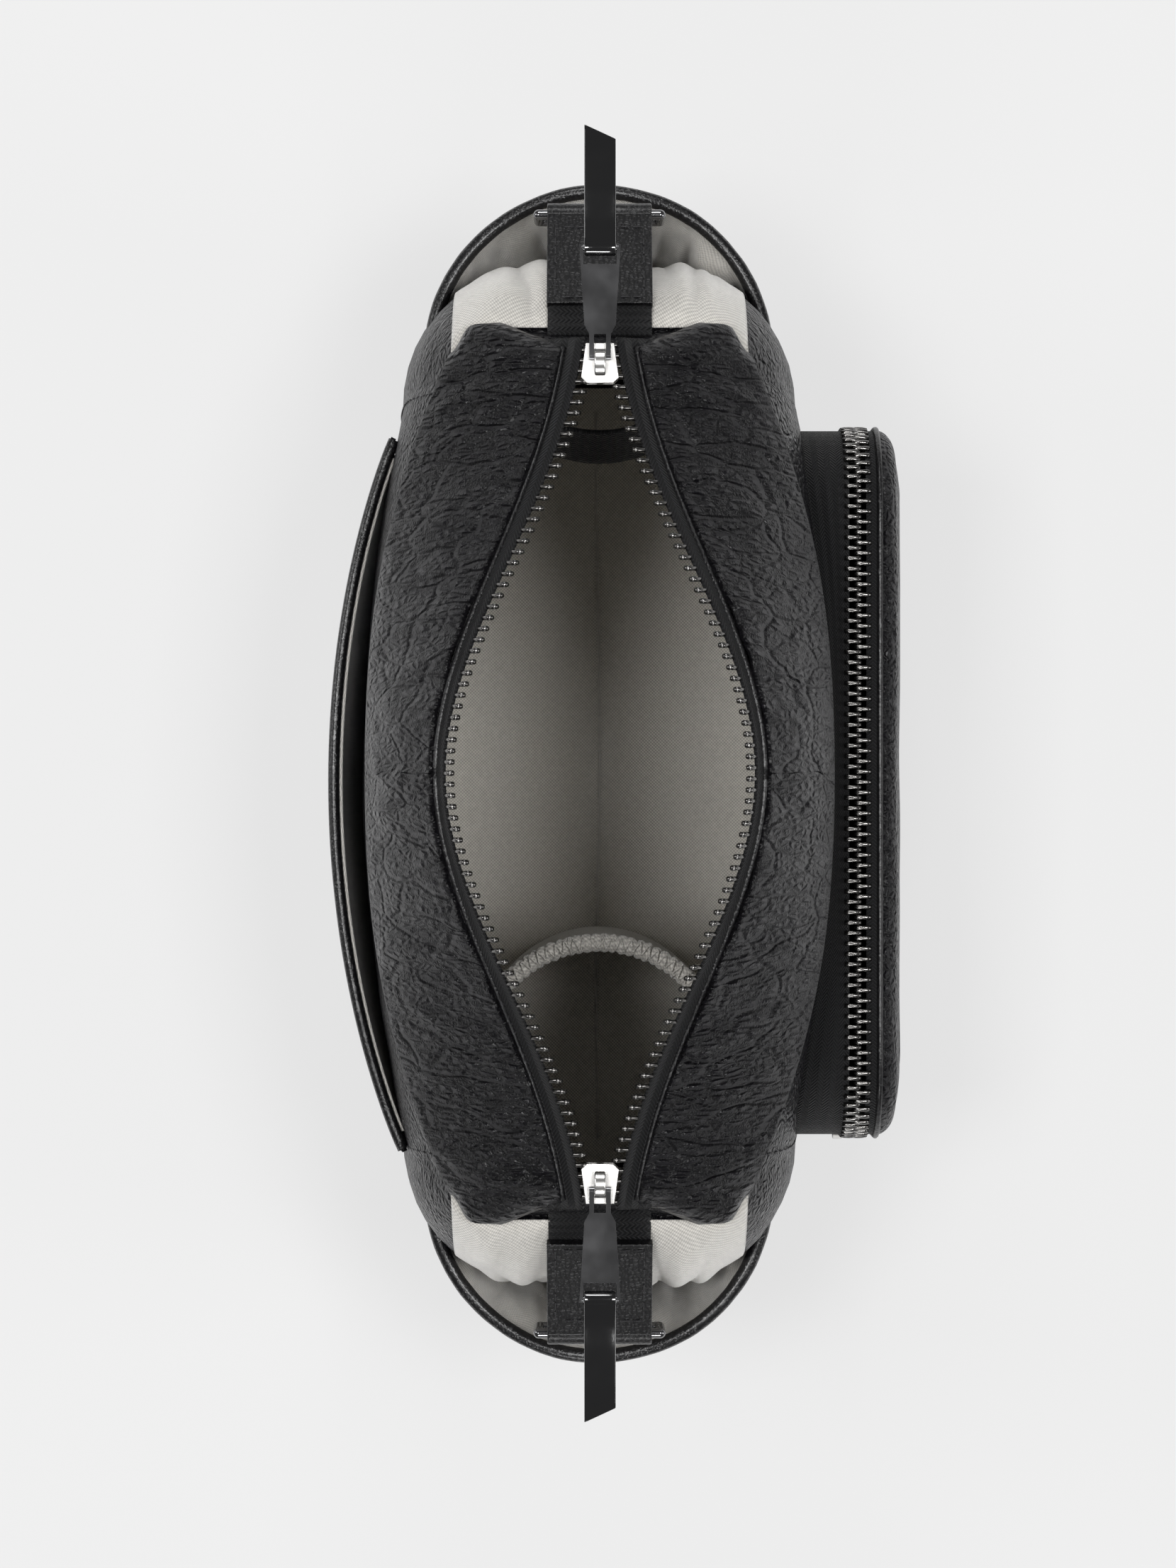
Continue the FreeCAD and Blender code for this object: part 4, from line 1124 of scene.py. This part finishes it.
def make_back_pocket():
    """The slip pocket on the back: leather, its lining, the lining's edge and a glossy rolled rim."""
    columns = 100
    rows = 40

    def place_with(inset, wave, half):
        """The places of a sheet set in from the leather, with dents of a given height."""

        def place(i, j):
            x = BACK_X + half * (2.0 * i / (columns - 1) - 1.0)
            z = mix(BACK_FOOT, BACK_TOP + 0.5, j / (rows - 1))
            dent = ripple(x / 36.0, z / 40.0, 1.0, 51.0) * wave
            return x, back_pocket_y(x, z, inset) + min(0.8, dent), z

        return place

    def cloth(i, j):
        return i * 2.1, j * 4.2

    outer_place = place_with(0.0, 0.9, BACK_HALF)
    inner_place = place_with(2.2, 0.5, BACK_HALF - 5.0)
    panel = sheet_piece("back_pocket_leather", columns, rows, outer_place, "leather", "bag")
    panel.data.flip_normals()
    thicken(panel, 1.5)
    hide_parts("back_pocket_panel")
    inner = sheet_piece(
        "back_pocket_cloth", columns, rows, inner_place, "pocket lining", "bag", cloth=cloth)
    thicken(inner, 0.5)
    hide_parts("back_pocket_lining")
    path = []
    for k in range(80):
        x = BACK_X + BACK_HALF * (2.0 * k / 79.0 - 1.0) * 0.99
        z = BACK_TOP + 1.2 + ripple(x / 20.0, 0.0, 0.0, 3.0) * 0.5
        path.append((x, back_pocket_y(x, BACK_TOP, 0.9), z))
    rim = tube_piece("back_pocket_rolled_rim", path, 1.7, "rolled leather", "bag", sides=14)
    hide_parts("back_pocket_rim")
    edge_path = [(x, y - 2.0, z - 0.6) for x, y, z in path[2:-2]]
    tube_piece("back_pocket_cloth_edge", edge_path, 0.55, "pocket lining", "bag", sides=8)


def pocket_round(share):
    """A place on the front pocket's outline and its outward direction, counted from the left foot."""
    left = FRONT_LEFT_X
    right = FRONT_RIGHT_X
    r = FRONT_CORNER
    tall = FRONT_TOP - FRONT_FOOT - 2.0 * r
    wide = right - left - 2.0 * r
    turn = math.pi * r / 2.0
    s = share % (2.0 * (tall + wide) + 4.0 * turn)
    corners = [
        (tall, (left, FRONT_FOOT + r), (0, 1), (-1, 0)),
        (turn, (left + r, FRONT_TOP - r), math.pi, None),
        (wide, (left + r, FRONT_TOP), (1, 0), (0, 1)),
        (turn, (right - r, FRONT_TOP - r), math.pi / 2.0, None),
        (tall, (right, FRONT_TOP - r), (0, -1), (1, 0)),
        (turn, (right - r, FRONT_FOOT + r), 0.0, None),
        (wide, (right - r, FRONT_FOOT), (-1, 0), (0, -1)),
        (turn, (left + r, FRONT_FOOT + r), -math.pi / 2.0, None),
    ]
    for length, origin, heading, outward in corners:
        if s <= length:
            if outward is None:
                angle = heading - s / r
                out_x = math.cos(angle)
                out_z = math.sin(angle)
                return origin[0] + r * out_x, origin[1] + r * out_z, out_x, out_z
            return origin[0] + heading[0] * s, origin[1] + heading[1] * s, outward[0], outward[1]
        s -= length
    return left, FRONT_FOOT + r, -1.0, 0.0


def pocket_round_length():
    wide = FRONT_RIGHT_X - FRONT_LEFT_X - 2.0 * FRONT_CORNER
    tall = FRONT_TOP - FRONT_FOOT - 2.0 * FRONT_CORNER
    return 2.0 * (wide + tall) + 2.0 * math.pi * FRONT_CORNER


def zip_start():
    return FRONT_ZIP_FOOT - FRONT_FOOT - FRONT_CORNER


def zip_stop():
    wide = FRONT_RIGHT_X - FRONT_LEFT_X - 2.0 * FRONT_CORNER
    side = FRONT_TOP - FRONT_CORNER - FRONT_ZIP_FOOT
    return zip_start() + 2.0 * side + math.pi * FRONT_CORNER + wide


def pocket_strip(name, first, last, from_y, to_y, lift, finish_name, thick, rows=8, bulge=0.0):
    """A strip round the front pocket's side between two depths; its back edge stops at the body."""
    columns = max(8, int((last - first) / 3.0))

    def place(i, j):
        x, z, out_x, out_z = pocket_round(first + (last - first) * i / (columns - 1))
        t = j / (rows - 1)
        y = mix(max(from_y, body_y(x, z) - 1.0), to_y, t)
        rise = lift + bulge * math.sin(math.pi * t)
        return x + out_x * rise, -y, z + out_z * rise

    def cloth(i, j):
        return (last - first) * i / (columns - 1), mix(from_y, to_y, j / (rows - 1))

    piece = sheet_piece(name, columns, rows, place, finish_name, "bag", cloth=cloth)
    thicken(piece, thick, 1.0)
    return piece


def make_front_pocket():
    """The front pocket: leather side, herringbone tapes, closed metal zip and a soft domed face."""
    first = zip_start()
    last = zip_stop()
    around = pocket_round_length()
    inside_y = 54.0
    body_edge = FRONT_CHAIN_Y - TAPE_EDGE + 0.4
    face_edge_y = FRONT_CHAIN_Y + TAPE_EDGE - 0.4
    gusset_low = pocket_strip(
        "pocket_gusset_foot", last, around + first, inside_y, 81.4, 0.0, "leather", 1.5, 10, 0.3)
    gusset_back = pocket_strip(
        "pocket_gusset_strip", first, last, inside_y, 70.4, -1.9, "edge leather", 1.4)
    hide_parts("front_pocket_gusset")
    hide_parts("front_pocket_gusset")
    tape_back = pocket_strip("pocket_tape_body", first, last, inside_y, body_edge, -0.3, "tape", 0.8)
    tape_face = pocket_strip("pocket_tape_face", first, last, face_edge_y, 81.0, -0.3, "tape", 0.8)
    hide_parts("front_tape_body_side")
    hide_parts("front_tape_face_side")
    columns = 220
    rows = 30
    edge_rows = 0.42
    rolled = 6.5
    face_inset = 20.0

    def face_place(i, j):
        x, z, out_x, out_z = pocket_round(around * i / columns)
        t = j / (rows - 1)
        if t < edge_rows:
            angle = math.pi / 2.0 * t / edge_rows
            inset = rolled * (1.0 - math.cos(angle))
            y = 80.6 + 5.6 * math.sin(angle)
        else:
            share = (t - edge_rows) / (1.0 - edge_rows)
            inset = rolled + share * (face_inset - rolled)
            y = 86.2 + 1.6 * math.sin(math.pi / 2.0 * share)
        y += ripple(x / 26.0, z / 26.0, t * 2.0, 61.0) * 0.5 * smooth(t * 3.0)
        x -= out_x * inset
        z -= out_z * inset
        return x, -y, z

    face_edge = sheet_piece("pocket_face_leather", columns, rows, face_place, "leather", "bag", wrap=True)
    thicken(face_edge, 1.4, 1.0)
    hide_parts("front_pocket_face")

    middle_rows = 16
    centre_x = (FRONT_LEFT_X + FRONT_RIGHT_X) / 2.0
    centre_z = (FRONT_TOP + FRONT_FOOT) / 2.0

    def middle_place(i, j):
        x0, z0, out_x, out_z = pocket_round(around * i / columns)
        edge_x = x0 - out_x * face_inset
        edge_z = z0 - out_z * face_inset
        share = j / (middle_rows - 1)
        x = mix(edge_x, centre_x, share)
        z = mix(edge_z, centre_z, share)
        y = 87.8 + ripple(x / 30.0, z / 30.0, 0.0, 61.0) * 0.5
        return x, -y, z

    middle = sheet_piece(
        "pocket_face_middle", columns, middle_rows, middle_place, "leather", "bag", wrap=True)
    thicken(middle, 1.4, 1.0)
    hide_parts("front_pocket_face")
    welt_path = []
    for k in range(200):
        x, z, out_x, out_z = pocket_round(around * k / 200.0)
        welt_path.append((x + out_x * 0.1, -80.9, z + out_z * 0.1))
    tube_piece("pocket_face_welt", welt_path, 0.9, "edge leather", "bag", sides=10, closed=True)
    make_front_teeth(first, last)


def make_front_teeth(first, last):
    """Two interleaved rows of teeth round the front pocket."""
    side_run = FRONT_TOP - FRONT_CORNER - FRONT_ZIP_FOOT
    rows = {"side_run": ([], []), "body_side": ([], []), "face_side": ([], [])}
    root = TAPE_EDGE + 1.0
    head = root - TOOTH_DEPTH - 1.0
    s = first + 2.0
    while s < last - 2.0:
        for side, shift in ((1.0, 0.0), (-1.0, TOOTH_PITCH / 2.0)):
            points, faces = make_tooth(0.0, root, head, -1.75, 0.95, 0.78)
            x, z, out_x, out_z = pocket_round(s + shift)
            key = "side_run" if s - first < side_run else ("body_side" if side > 0 else "face_side")
            kept, kept_faces = rows[key]
            base = len(kept)
            for along, back, lift in points:
                px = x - out_z * -along + out_x * lift
                pz = z + out_x * -along + out_z * lift
                kept.append((px, -FRONT_CHAIN_Y + side * back, pz))
            kept_faces.extend([tuple(k + base for k in face) for face in faces])
        s += TOOTH_PITCH
    for key, (points, faces) in rows.items():
        piece = mesh_piece("pocket_teeth_" + key, points, faces, "teeth", "bag")
        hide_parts("front_teeth_" + key)


def u_path(centre_x, radius, reach, steps, sign):
    """A level U: straight from the end wall, round a half circle, and back to the wall."""
    path = []
    for k in range(8):
        path.append((centre_x + reach * (1.0 - k / 8.0), radius))
    for k in range(steps + 1):
        angle = math.pi / 2.0 + math.pi * k / steps
        path.append((centre_x + radius * math.cos(angle), radius * math.sin(angle)))
    for k in range(1, 9):
        path.append((centre_x + reach * k / 8.0, -radius))
    return [(sign * x, y) for x, y in path]


BOTTLE_X = 88.0
BOTTLE_RADIUS = 37.6
BOTTLE_REACH = 50.0
BOTTLE_FREE_X = -95.0
BOTTLE_RIM = 150.4


def make_inner_pieces():
    """The gathered bottle pocket with its elastic, and the black elastic loop opposite."""
    path = u_path(BOTTLE_X, BOTTLE_RADIUS, BOTTLE_REACH, 90, -1.0)
    rows = 30
    centre = Vector((-BOTTLE_X, 0.0))

    def place(i, j):
        x, y = path[i]
        share = j / (rows - 1)
        z = mix(5.2, 151.5, share)
        gather = smooth((share - 0.55) / 0.4)
        out = Vector((x, y)) - centre
        out = out.normalized() if out.length > 0.1 else Vector((1, 0))
        inner = x > BOTTLE_FREE_X
        pleat = abs(math.sin(i * 1.05)) * 2.0 + ripple(i * 0.31, share * 3.0, 0.0, 71.0) * 1.4
        puff = math.sin(math.pi * min(1.0, share * 1.02)) * 2.2
        push = (pleat * gather * 0.8 + puff * 0.5) if inner else 0.0
        return inside_end(x + out.x * push, y, z), y + out.y * push, z

    def cloth(i, j):
        return i * 1.9, j * 5.0

    pocket = sheet_piece("bottle_pocket_cloth", len(path), rows, place, "pocket lining", "bag", cloth=cloth)
    thicken(pocket, 0.8, 0.0)
    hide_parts("bottle_pocket")
    ring = []
    fine = u_path(BOTTLE_X, BOTTLE_RADIUS, BOTTLE_REACH, 240, -1.0)
    for index, (x, y) in enumerate(fine):
        z = BOTTLE_RIM + 0.4 * math.sin(index * 0.9)
        ring.append((inside_end(x, y, BOTTLE_RIM), y, z))

    def gathers(share):
        return 2.5 + 0.75 * abs(math.sin(share * 150.0)) - 0.3 + 0.25 * ripple(share * 60.0, 0.0, 0.0, 81.0)

    waves = 46
    ruffle_rows = 7

    def ruffle_place(i, j):
        x, y = fine[i]
        share = j / (ruffle_rows - 1)
        out = Vector((0.0, math.copysign(1.0, y)))
        if x > BOTTLE_FREE_X:
            out = Vector((x + BOTTLE_X, y)).normalized()
        push = math.sin(i / len(fine) * math.tau * waves) * (0.5 + 1.3 * share)
        push += ripple(i / 9.0, share, 0.0, 83.0) * 0.8
        return inside_end(x + out.x * push, y, 150.0), y + out.y * push, mix(149.0, 154.5, share)

    ruffle = sheet_piece(
        "bottle_pocket_ruffle", len(fine), ruffle_rows, ruffle_place, "pocket lining", "bag")
    thicken(ruffle, 0.4, 0.0)
    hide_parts("bottle_pocket_elastic")
    elastic = tube_piece("bottle_pocket_gathers", ring, gathers, "pocket lining", "bag", sides=14)
    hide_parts("bottle_pocket_elastic")
    loop_path = u_path(130.0, 35.3, 16.0, 60, 1.0)

    loop_rows = 10

    def loop_place(i, j):
        x, y = loop_path[i]
        share = j / (loop_rows - 1)
        lean = 7.0 * (share - 0.5) * (1.0 - smooth((x - 112.0) / 14.0))
        z = mix(184.0, 206.0, share)
        return inside_end(x + lean, y, z), y, z

    def loop_cloth(i, j):
        return j * 2.4, i * 2.0

    loop = sheet_piece(
        "elastic_loop_band", len(loop_path), loop_rows, loop_place, "webbing", "bag", cloth=loop_cloth)
    thicken(loop, 1.3, 0.0)
    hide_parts("elastic_loop")


def make_sliders():
    """The three sliders, their crowns and plated pulls."""
    for prefix in ("right", "left", "front"):
        body = prefix + "_slider"
        finished_copy(prefix + "_slider", "nickel", body, 0.35)
        finished_copy(prefix + "_crown", "nickel", body, 0.3)
        finished_copy(prefix + "_pull", "gunmetal", prefix + "_pull", 0.35)


def make_pull_tab(prefix, pivot, direction, normal):
    """A folded patent strap: two layers from a loop round the pull's bar to a slanted end."""
    pivot = Vector(pivot)
    direction = Vector(direction)
    normal = Vector(normal)
    length = 31.8
    width = 8.6
    slant = 4.0
    loop_radius = 1.75
    loop_end = 1.6
    columns = 9
    runs = [loop_end + (length - loop_end) * k / 18.0 for k in range(19)]

    def layer(t, side):
        """One layer's place: it sways with the other and parts from it near the loop."""
        sway = 0.35 * math.sin(t / length * math.pi)
        return t, side * 0.62 + sway + side * (max(0.0, 1.0 - t / 7.0) * 0.75)

    path = [layer(t, 1.0) for t in reversed(runs)]
    for k in range(9):
        angle = math.radians(mix(60.0, 300.0, k / 8.0))
        path.append((loop_radius * math.cos(angle), loop_radius * math.sin(angle)))
    path.extend([layer(t, -1.0) for t in runs])
    points = []
    faces = []
    for along, lift in path:
        for k in range(columns):
            across = width * (k / (columns - 1) - 0.5)
            shear = (across / width) * slant * smooth(along / length)
            reach = along + shear * (1.0 if along > 4.0 else 0.0)
            crown = -0.12 * (abs(across) / (width / 2.0)) ** 3 * (1.0 if lift > 0 else -1.0)
            point = pivot + direction * reach + normal * (lift + crown) + Vector((0, across, 0))
            points.append(tuple(point))
    for j in range(len(path) - 1):
        for k in range(columns - 1):
            a = j * columns + k
            faces.append((a, a + 1, a + columns + 1, a + columns))
    tab = mesh_piece(prefix + "_pull_tab_strap", points, faces, "patent", prefix + "_pull_tab")
    thicken(tab, 1.1, 0.0)
    round_edges(tab, 0.25)
    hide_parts(prefix + "_pull_tab")


def make_pull_tabs():
    for prefix in ("right", "left", "front"):
        joint = JOINTS[prefix + "_tab_hinge"]
        pivot = [value / MM for value in joint["pos_m"]]
        low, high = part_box(prefix + "_pull_tab")
        middle = [(a + b) / 2.0 / MM for a, b in zip(low, high)]
        direction = Vector((middle[0] - pivot[0], 0.0, middle[2] - pivot[2])).normalized()
        normal = Vector((-direction.z, 0.0, direction.x))
        if prefix != "front" and normal.z < 0:
            normal = -normal
        if prefix == "front" and normal.x > 0:
            normal = -normal
        make_pull_tab(prefix, pivot, direction, normal)


# The studio, in metres and watts: each lamp's name, place, width and power.
LAMPS = (
    ("high_back_lamp", (0.0, 0.42, 2.1), 0.35, 17.0),
    ("high_front_lamp", (0.0, -0.42, 2.1), 0.35, 17.0),
    ("back_lamp", (0.3, 1.3, 0.8), 0.5, 5.5),
    ("front_lamp", (-0.2, -1.3, 0.8), 0.5, 5.0),
    ("right_lamp", (1.3, 0.1, 1.1), 0.4, 6.0),
    ("left_lamp", (-1.3, 0.1, 1.1), 0.4, 6.0),
)
LAMP_AIM = (0.0, 0.0, 0.15)
FLOOR_HALF = 4
WORLD_STRENGTH = 0.16
CAMERA_PLACE = (-0.0029, 0.0033, 1.53)
CAMERA_LENS = 105.8


def make_stage():
    """A plain pale floor, soft lamps overhead and to the sides, and the camera straight above."""
    made = Finish("pale floor")
    made.finish(Base_Color=(*shade("floor", 1.0), 1.0), Roughness=0.9, Specular_IOR_Level=0.1)
    glow = made.node("ShaderNodeEmission", None, {0: (*shade("floor", 1.0), 1.0), 1: 1.0})
    seen = made.node("ShaderNodeLightPath").out("Is Camera Ray") * 0.75
    mixed = made.node("ShaderNodeMixShader", None, {0: seen})
    made.tree.links.new(made.surface.outputs[0], mixed.node.inputs[1])
    made.tree.links.new(glow.node.outputs[0], mixed.node.inputs[2])
    made.tree.links.new(mixed.node.outputs[0], made.tree.nodes["Material Output"].inputs[0])
    mesh = bpy.data.meshes.new("pale_floor")
    corners = [(x * FLOOR_HALF, y * FLOOR_HALF, 0) for x, y in ((-1, -1), (1, -1), (1, 1), (-1, 1))]
    mesh.from_pydata(corners, [], [(0, 1, 2, 3)])
    mesh.materials.append(made.material)
    floor = bpy.data.objects.new("pale_floor", mesh)
    bpy.context.scene.collection.objects.link(floor)
    for name, place, width, power in LAMPS:
        lamp = bpy.data.lights.new(name, "AREA")
        lamp.shape = "SQUARE"
        lamp.size = width
        lamp.energy = power
        holder = bpy.data.objects.new(name, lamp)
        holder.location = place
        view = Vector(LAMP_AIM) - Vector(place)
        holder.rotation_euler = view.to_track_quat("-Z", "Y").to_euler()
        bpy.context.scene.collection.objects.link(holder)
    world = bpy.data.worlds.new("studio")
    world.use_nodes = True
    background = world.node_tree.nodes["Background"]
    background.inputs["Color"].default_value = (1.0, 1.0, 1.0, 1.0)
    background.inputs["Strength"].default_value = WORLD_STRENGTH
    bpy.context.scene.world = world
    camera = bpy.data.cameras.new("camera")
    camera.sensor_fit = "VERTICAL"
    camera.sensor_height = 36.0
    camera.lens = CAMERA_LENS
    viewer = bpy.data.objects.new("camera", camera)
    viewer.location = CAMERA_PLACE
    viewer.rotation_euler = (0.0, 0.0, -math.pi / 2.0)
    bpy.context.scene.collection.objects.link(viewer)
    bpy.context.scene.camera = viewer
    bpy.context.scene.view_settings.view_transform = "Standard"


def colour_property(name, description, default):
    return bpy.props.FloatVectorProperty(
        name=name, description=description, default=default, size=3, min=0.0, max=1.0, subtype="COLOR")


def length_property(name, description, default):
    return bpy.props.FloatProperty(
        name=name, description=description, default=default, min=0.0, subtype="DISTANCE", unit="LENGTH")


class BagSizes(bpy.types.PropertyGroup):
    """Sizes of the bag's finer detail that a user may change."""

    stitch_length: length_property("Stitch length", "Length of one sewn stitch", 0.0026)
    stitch_gap: length_property("Stitch gap", "Gap between two stitches", 0.0009)
    thread_radius: length_property("Thread radius", "Radius of the sewing thread", 0.00022)
    pebble_size: length_property("Pebble size", "Size of the leather's grain", 0.0023)
    weave_pitch: length_property("Weave pitch", "Distance between the lining's threads", 0.00105)
    wrinkle_depth: length_property("Wrinkle depth", "Depth of the top panels' wrinkles", 0.0016)


class BagColours(bpy.types.PropertyGroup):
    """Colours of the bag's materials."""

    leather: colour_property("Leather", "Colour of the pebbled leather", (0.0042, 0.0038, 0.0052))
    edging: colour_property("Edging", "Colour of the smooth bindings and loops", (0.0075, 0.0071, 0.0082))
    patent: colour_property("Patent", "Colour of the glossy pull tabs", (0.003, 0.003, 0.0034))
    lining: colour_property("Lining", "Colour of the woven lining", (0.72, 0.69, 0.63))
    pocket: colour_property("Pocket lining", "Colour of the twill in the pockets", (0.66, 0.635, 0.59))
    tape: colour_property("Tape", "Colour of the zip tapes and webbing", (0.0085, 0.0085, 0.0095))
    gunmetal: colour_property("Gunmetal", "Colour of the plated pulls and rings", (0.2, 0.2, 0.205))
    teeth: colour_property("Teeth", "Colour of the zip teeth", (0.17, 0.165, 0.16))
    nickel: colour_property("Nickel", "Colour of the bright sliders", (0.72, 0.71, 0.69))
    thread: colour_property("Thread", "Colour of the sewing thread", (0.03, 0.029, 0.032))
    floor: colour_property("Floor", "Colour of the studio floor", (0.8, 0.8, 0.8))


class BAG_OT_body(bpy.types.Operator):
    """Makes the pebbled leather body and its seams"""

    bl_idname = "bag.body"
    bl_label = "Leather body"

    def execute(self, context):
        make_body()
        return {"FINISHED"}


class BAG_OT_lining(bpy.types.Operator):
    """Makes the woven lining of the main compartment"""

    bl_idname = "bag.lining"
    bl_label = "Main lining"

    def execute(self, context):
        make_lining()
        return {"FINISHED"}


class BAG_OT_mouth(bpy.types.Operator):
    """Makes the creased top panels, the open zip and the end gables"""

    bl_idname = "bag.mouth"
    bl_label = "Open zipped mouth"

    def execute(self, context):
        make_mouth()
        make_end_gables()
        return {"FINISHED"}


class BAG_OT_sliders(bpy.types.Operator):
    """Makes the sliders with their crowns and plated pulls"""

    bl_idname = "bag.sliders"
    bl_label = "Zip sliders"

    def execute(self, context):
        make_sliders()
        return {"FINISHED"}


class BAG_OT_pull_tabs(bpy.types.Operator):
    """Makes the folded patent tabs on the pulls"""

    bl_idname = "bag.pull_tabs"
    bl_label = "Patent pull tabs"

    def execute(self, context):
        make_pull_tabs()
        return {"FINISHED"}


class BAG_OT_side_pockets(bpy.types.Operator):
    """Makes the open pockets at both ends"""

    bl_idname = "bag.side_pockets"
    bl_label = "Side pockets"

    def execute(self, context):
        for end in (1.0, -1.0):
            make_side_pocket(end)
        return {"FINISHED"}


class BAG_OT_anchors(bpy.types.Operator):
    """Makes the strap anchors and their rings"""

    bl_idname = "bag.anchors"
    bl_label = "Strap anchors"

    def execute(self, context):
        make_anchors()
        return {"FINISHED"}


class BAG_OT_back_pocket(bpy.types.Operator):
    """Makes the slip pocket on the back"""

    bl_idname = "bag.back_pocket"
    bl_label = "Back slip pocket"

    def execute(self, context):
        make_back_pocket()
        return {"FINISHED"}


class BAG_OT_front_pocket(bpy.types.Operator):
    """Makes the zipped pocket on the front"""

    bl_idname = "bag.front_pocket"
    bl_label = "Front zipped pocket"

    def execute(self, context):
        make_front_pocket()
        return {"FINISHED"}


class BAG_OT_inner_pieces(bpy.types.Operator):
    """Makes the gathered bottle pocket and the elastic loop"""

    bl_idname = "bag.inner_pieces"
    bl_label = "Inner pockets"

    def execute(self, context):
        make_inner_pieces()
        return {"FINISHED"}


class BAG_OT_stage(bpy.types.Operator):
    """Makes the floor, the lamps and the camera"""

    bl_idname = "bag.stage"
    bl_label = "Studio"

    def execute(self, context):
        make_stage()
        return {"FINISHED"}


STEPS = (
    BAG_OT_stage,
    BAG_OT_body,
    BAG_OT_lining,
    BAG_OT_mouth,
    BAG_OT_sliders,
    BAG_OT_pull_tabs,
    BAG_OT_side_pockets,
    BAG_OT_anchors,
    BAG_OT_back_pocket,
    BAG_OT_front_pocket,
    BAG_OT_inner_pieces,
)


class BAG_PT_steps(bpy.types.Panel):
    """Lists the bag's sizes, colours and making steps"""

    bl_idname = "BAG_PT_steps"
    bl_label = "Changing Bag"
    bl_space_type = "VIEW_3D"
    bl_region_type = "UI"
    bl_category = "Changing Bag"

    def draw(self, context):
        for group in (context.scene.bag_sizes, context.scene.bag_colours):
            for key in group.__annotations__:
                self.layout.prop(group, key)
        for step in STEPS:
            self.layout.operator(step.bl_idname)


CLASSES = (BagSizes, BagColours) + STEPS + (BAG_PT_steps,)


def register():
    for part in CLASSES:
        bpy.utils.register_class(part)
    bpy.types.Scene.bag_sizes = bpy.props.PointerProperty(type=BagSizes)
    bpy.types.Scene.bag_colours = bpy.props.PointerProperty(type=BagColours)


def unregister():
    del bpy.types.Scene.bag_colours
    del bpy.types.Scene.bag_sizes
    for part in reversed(CLASSES):
        bpy.utils.unregister_class(part)


def main():
    register()
    for step in STEPS:
        group, action = step.bl_idname.split(".")
        getattr(getattr(bpy.ops, group), action)()


if __name__ == "__main__":
    main()
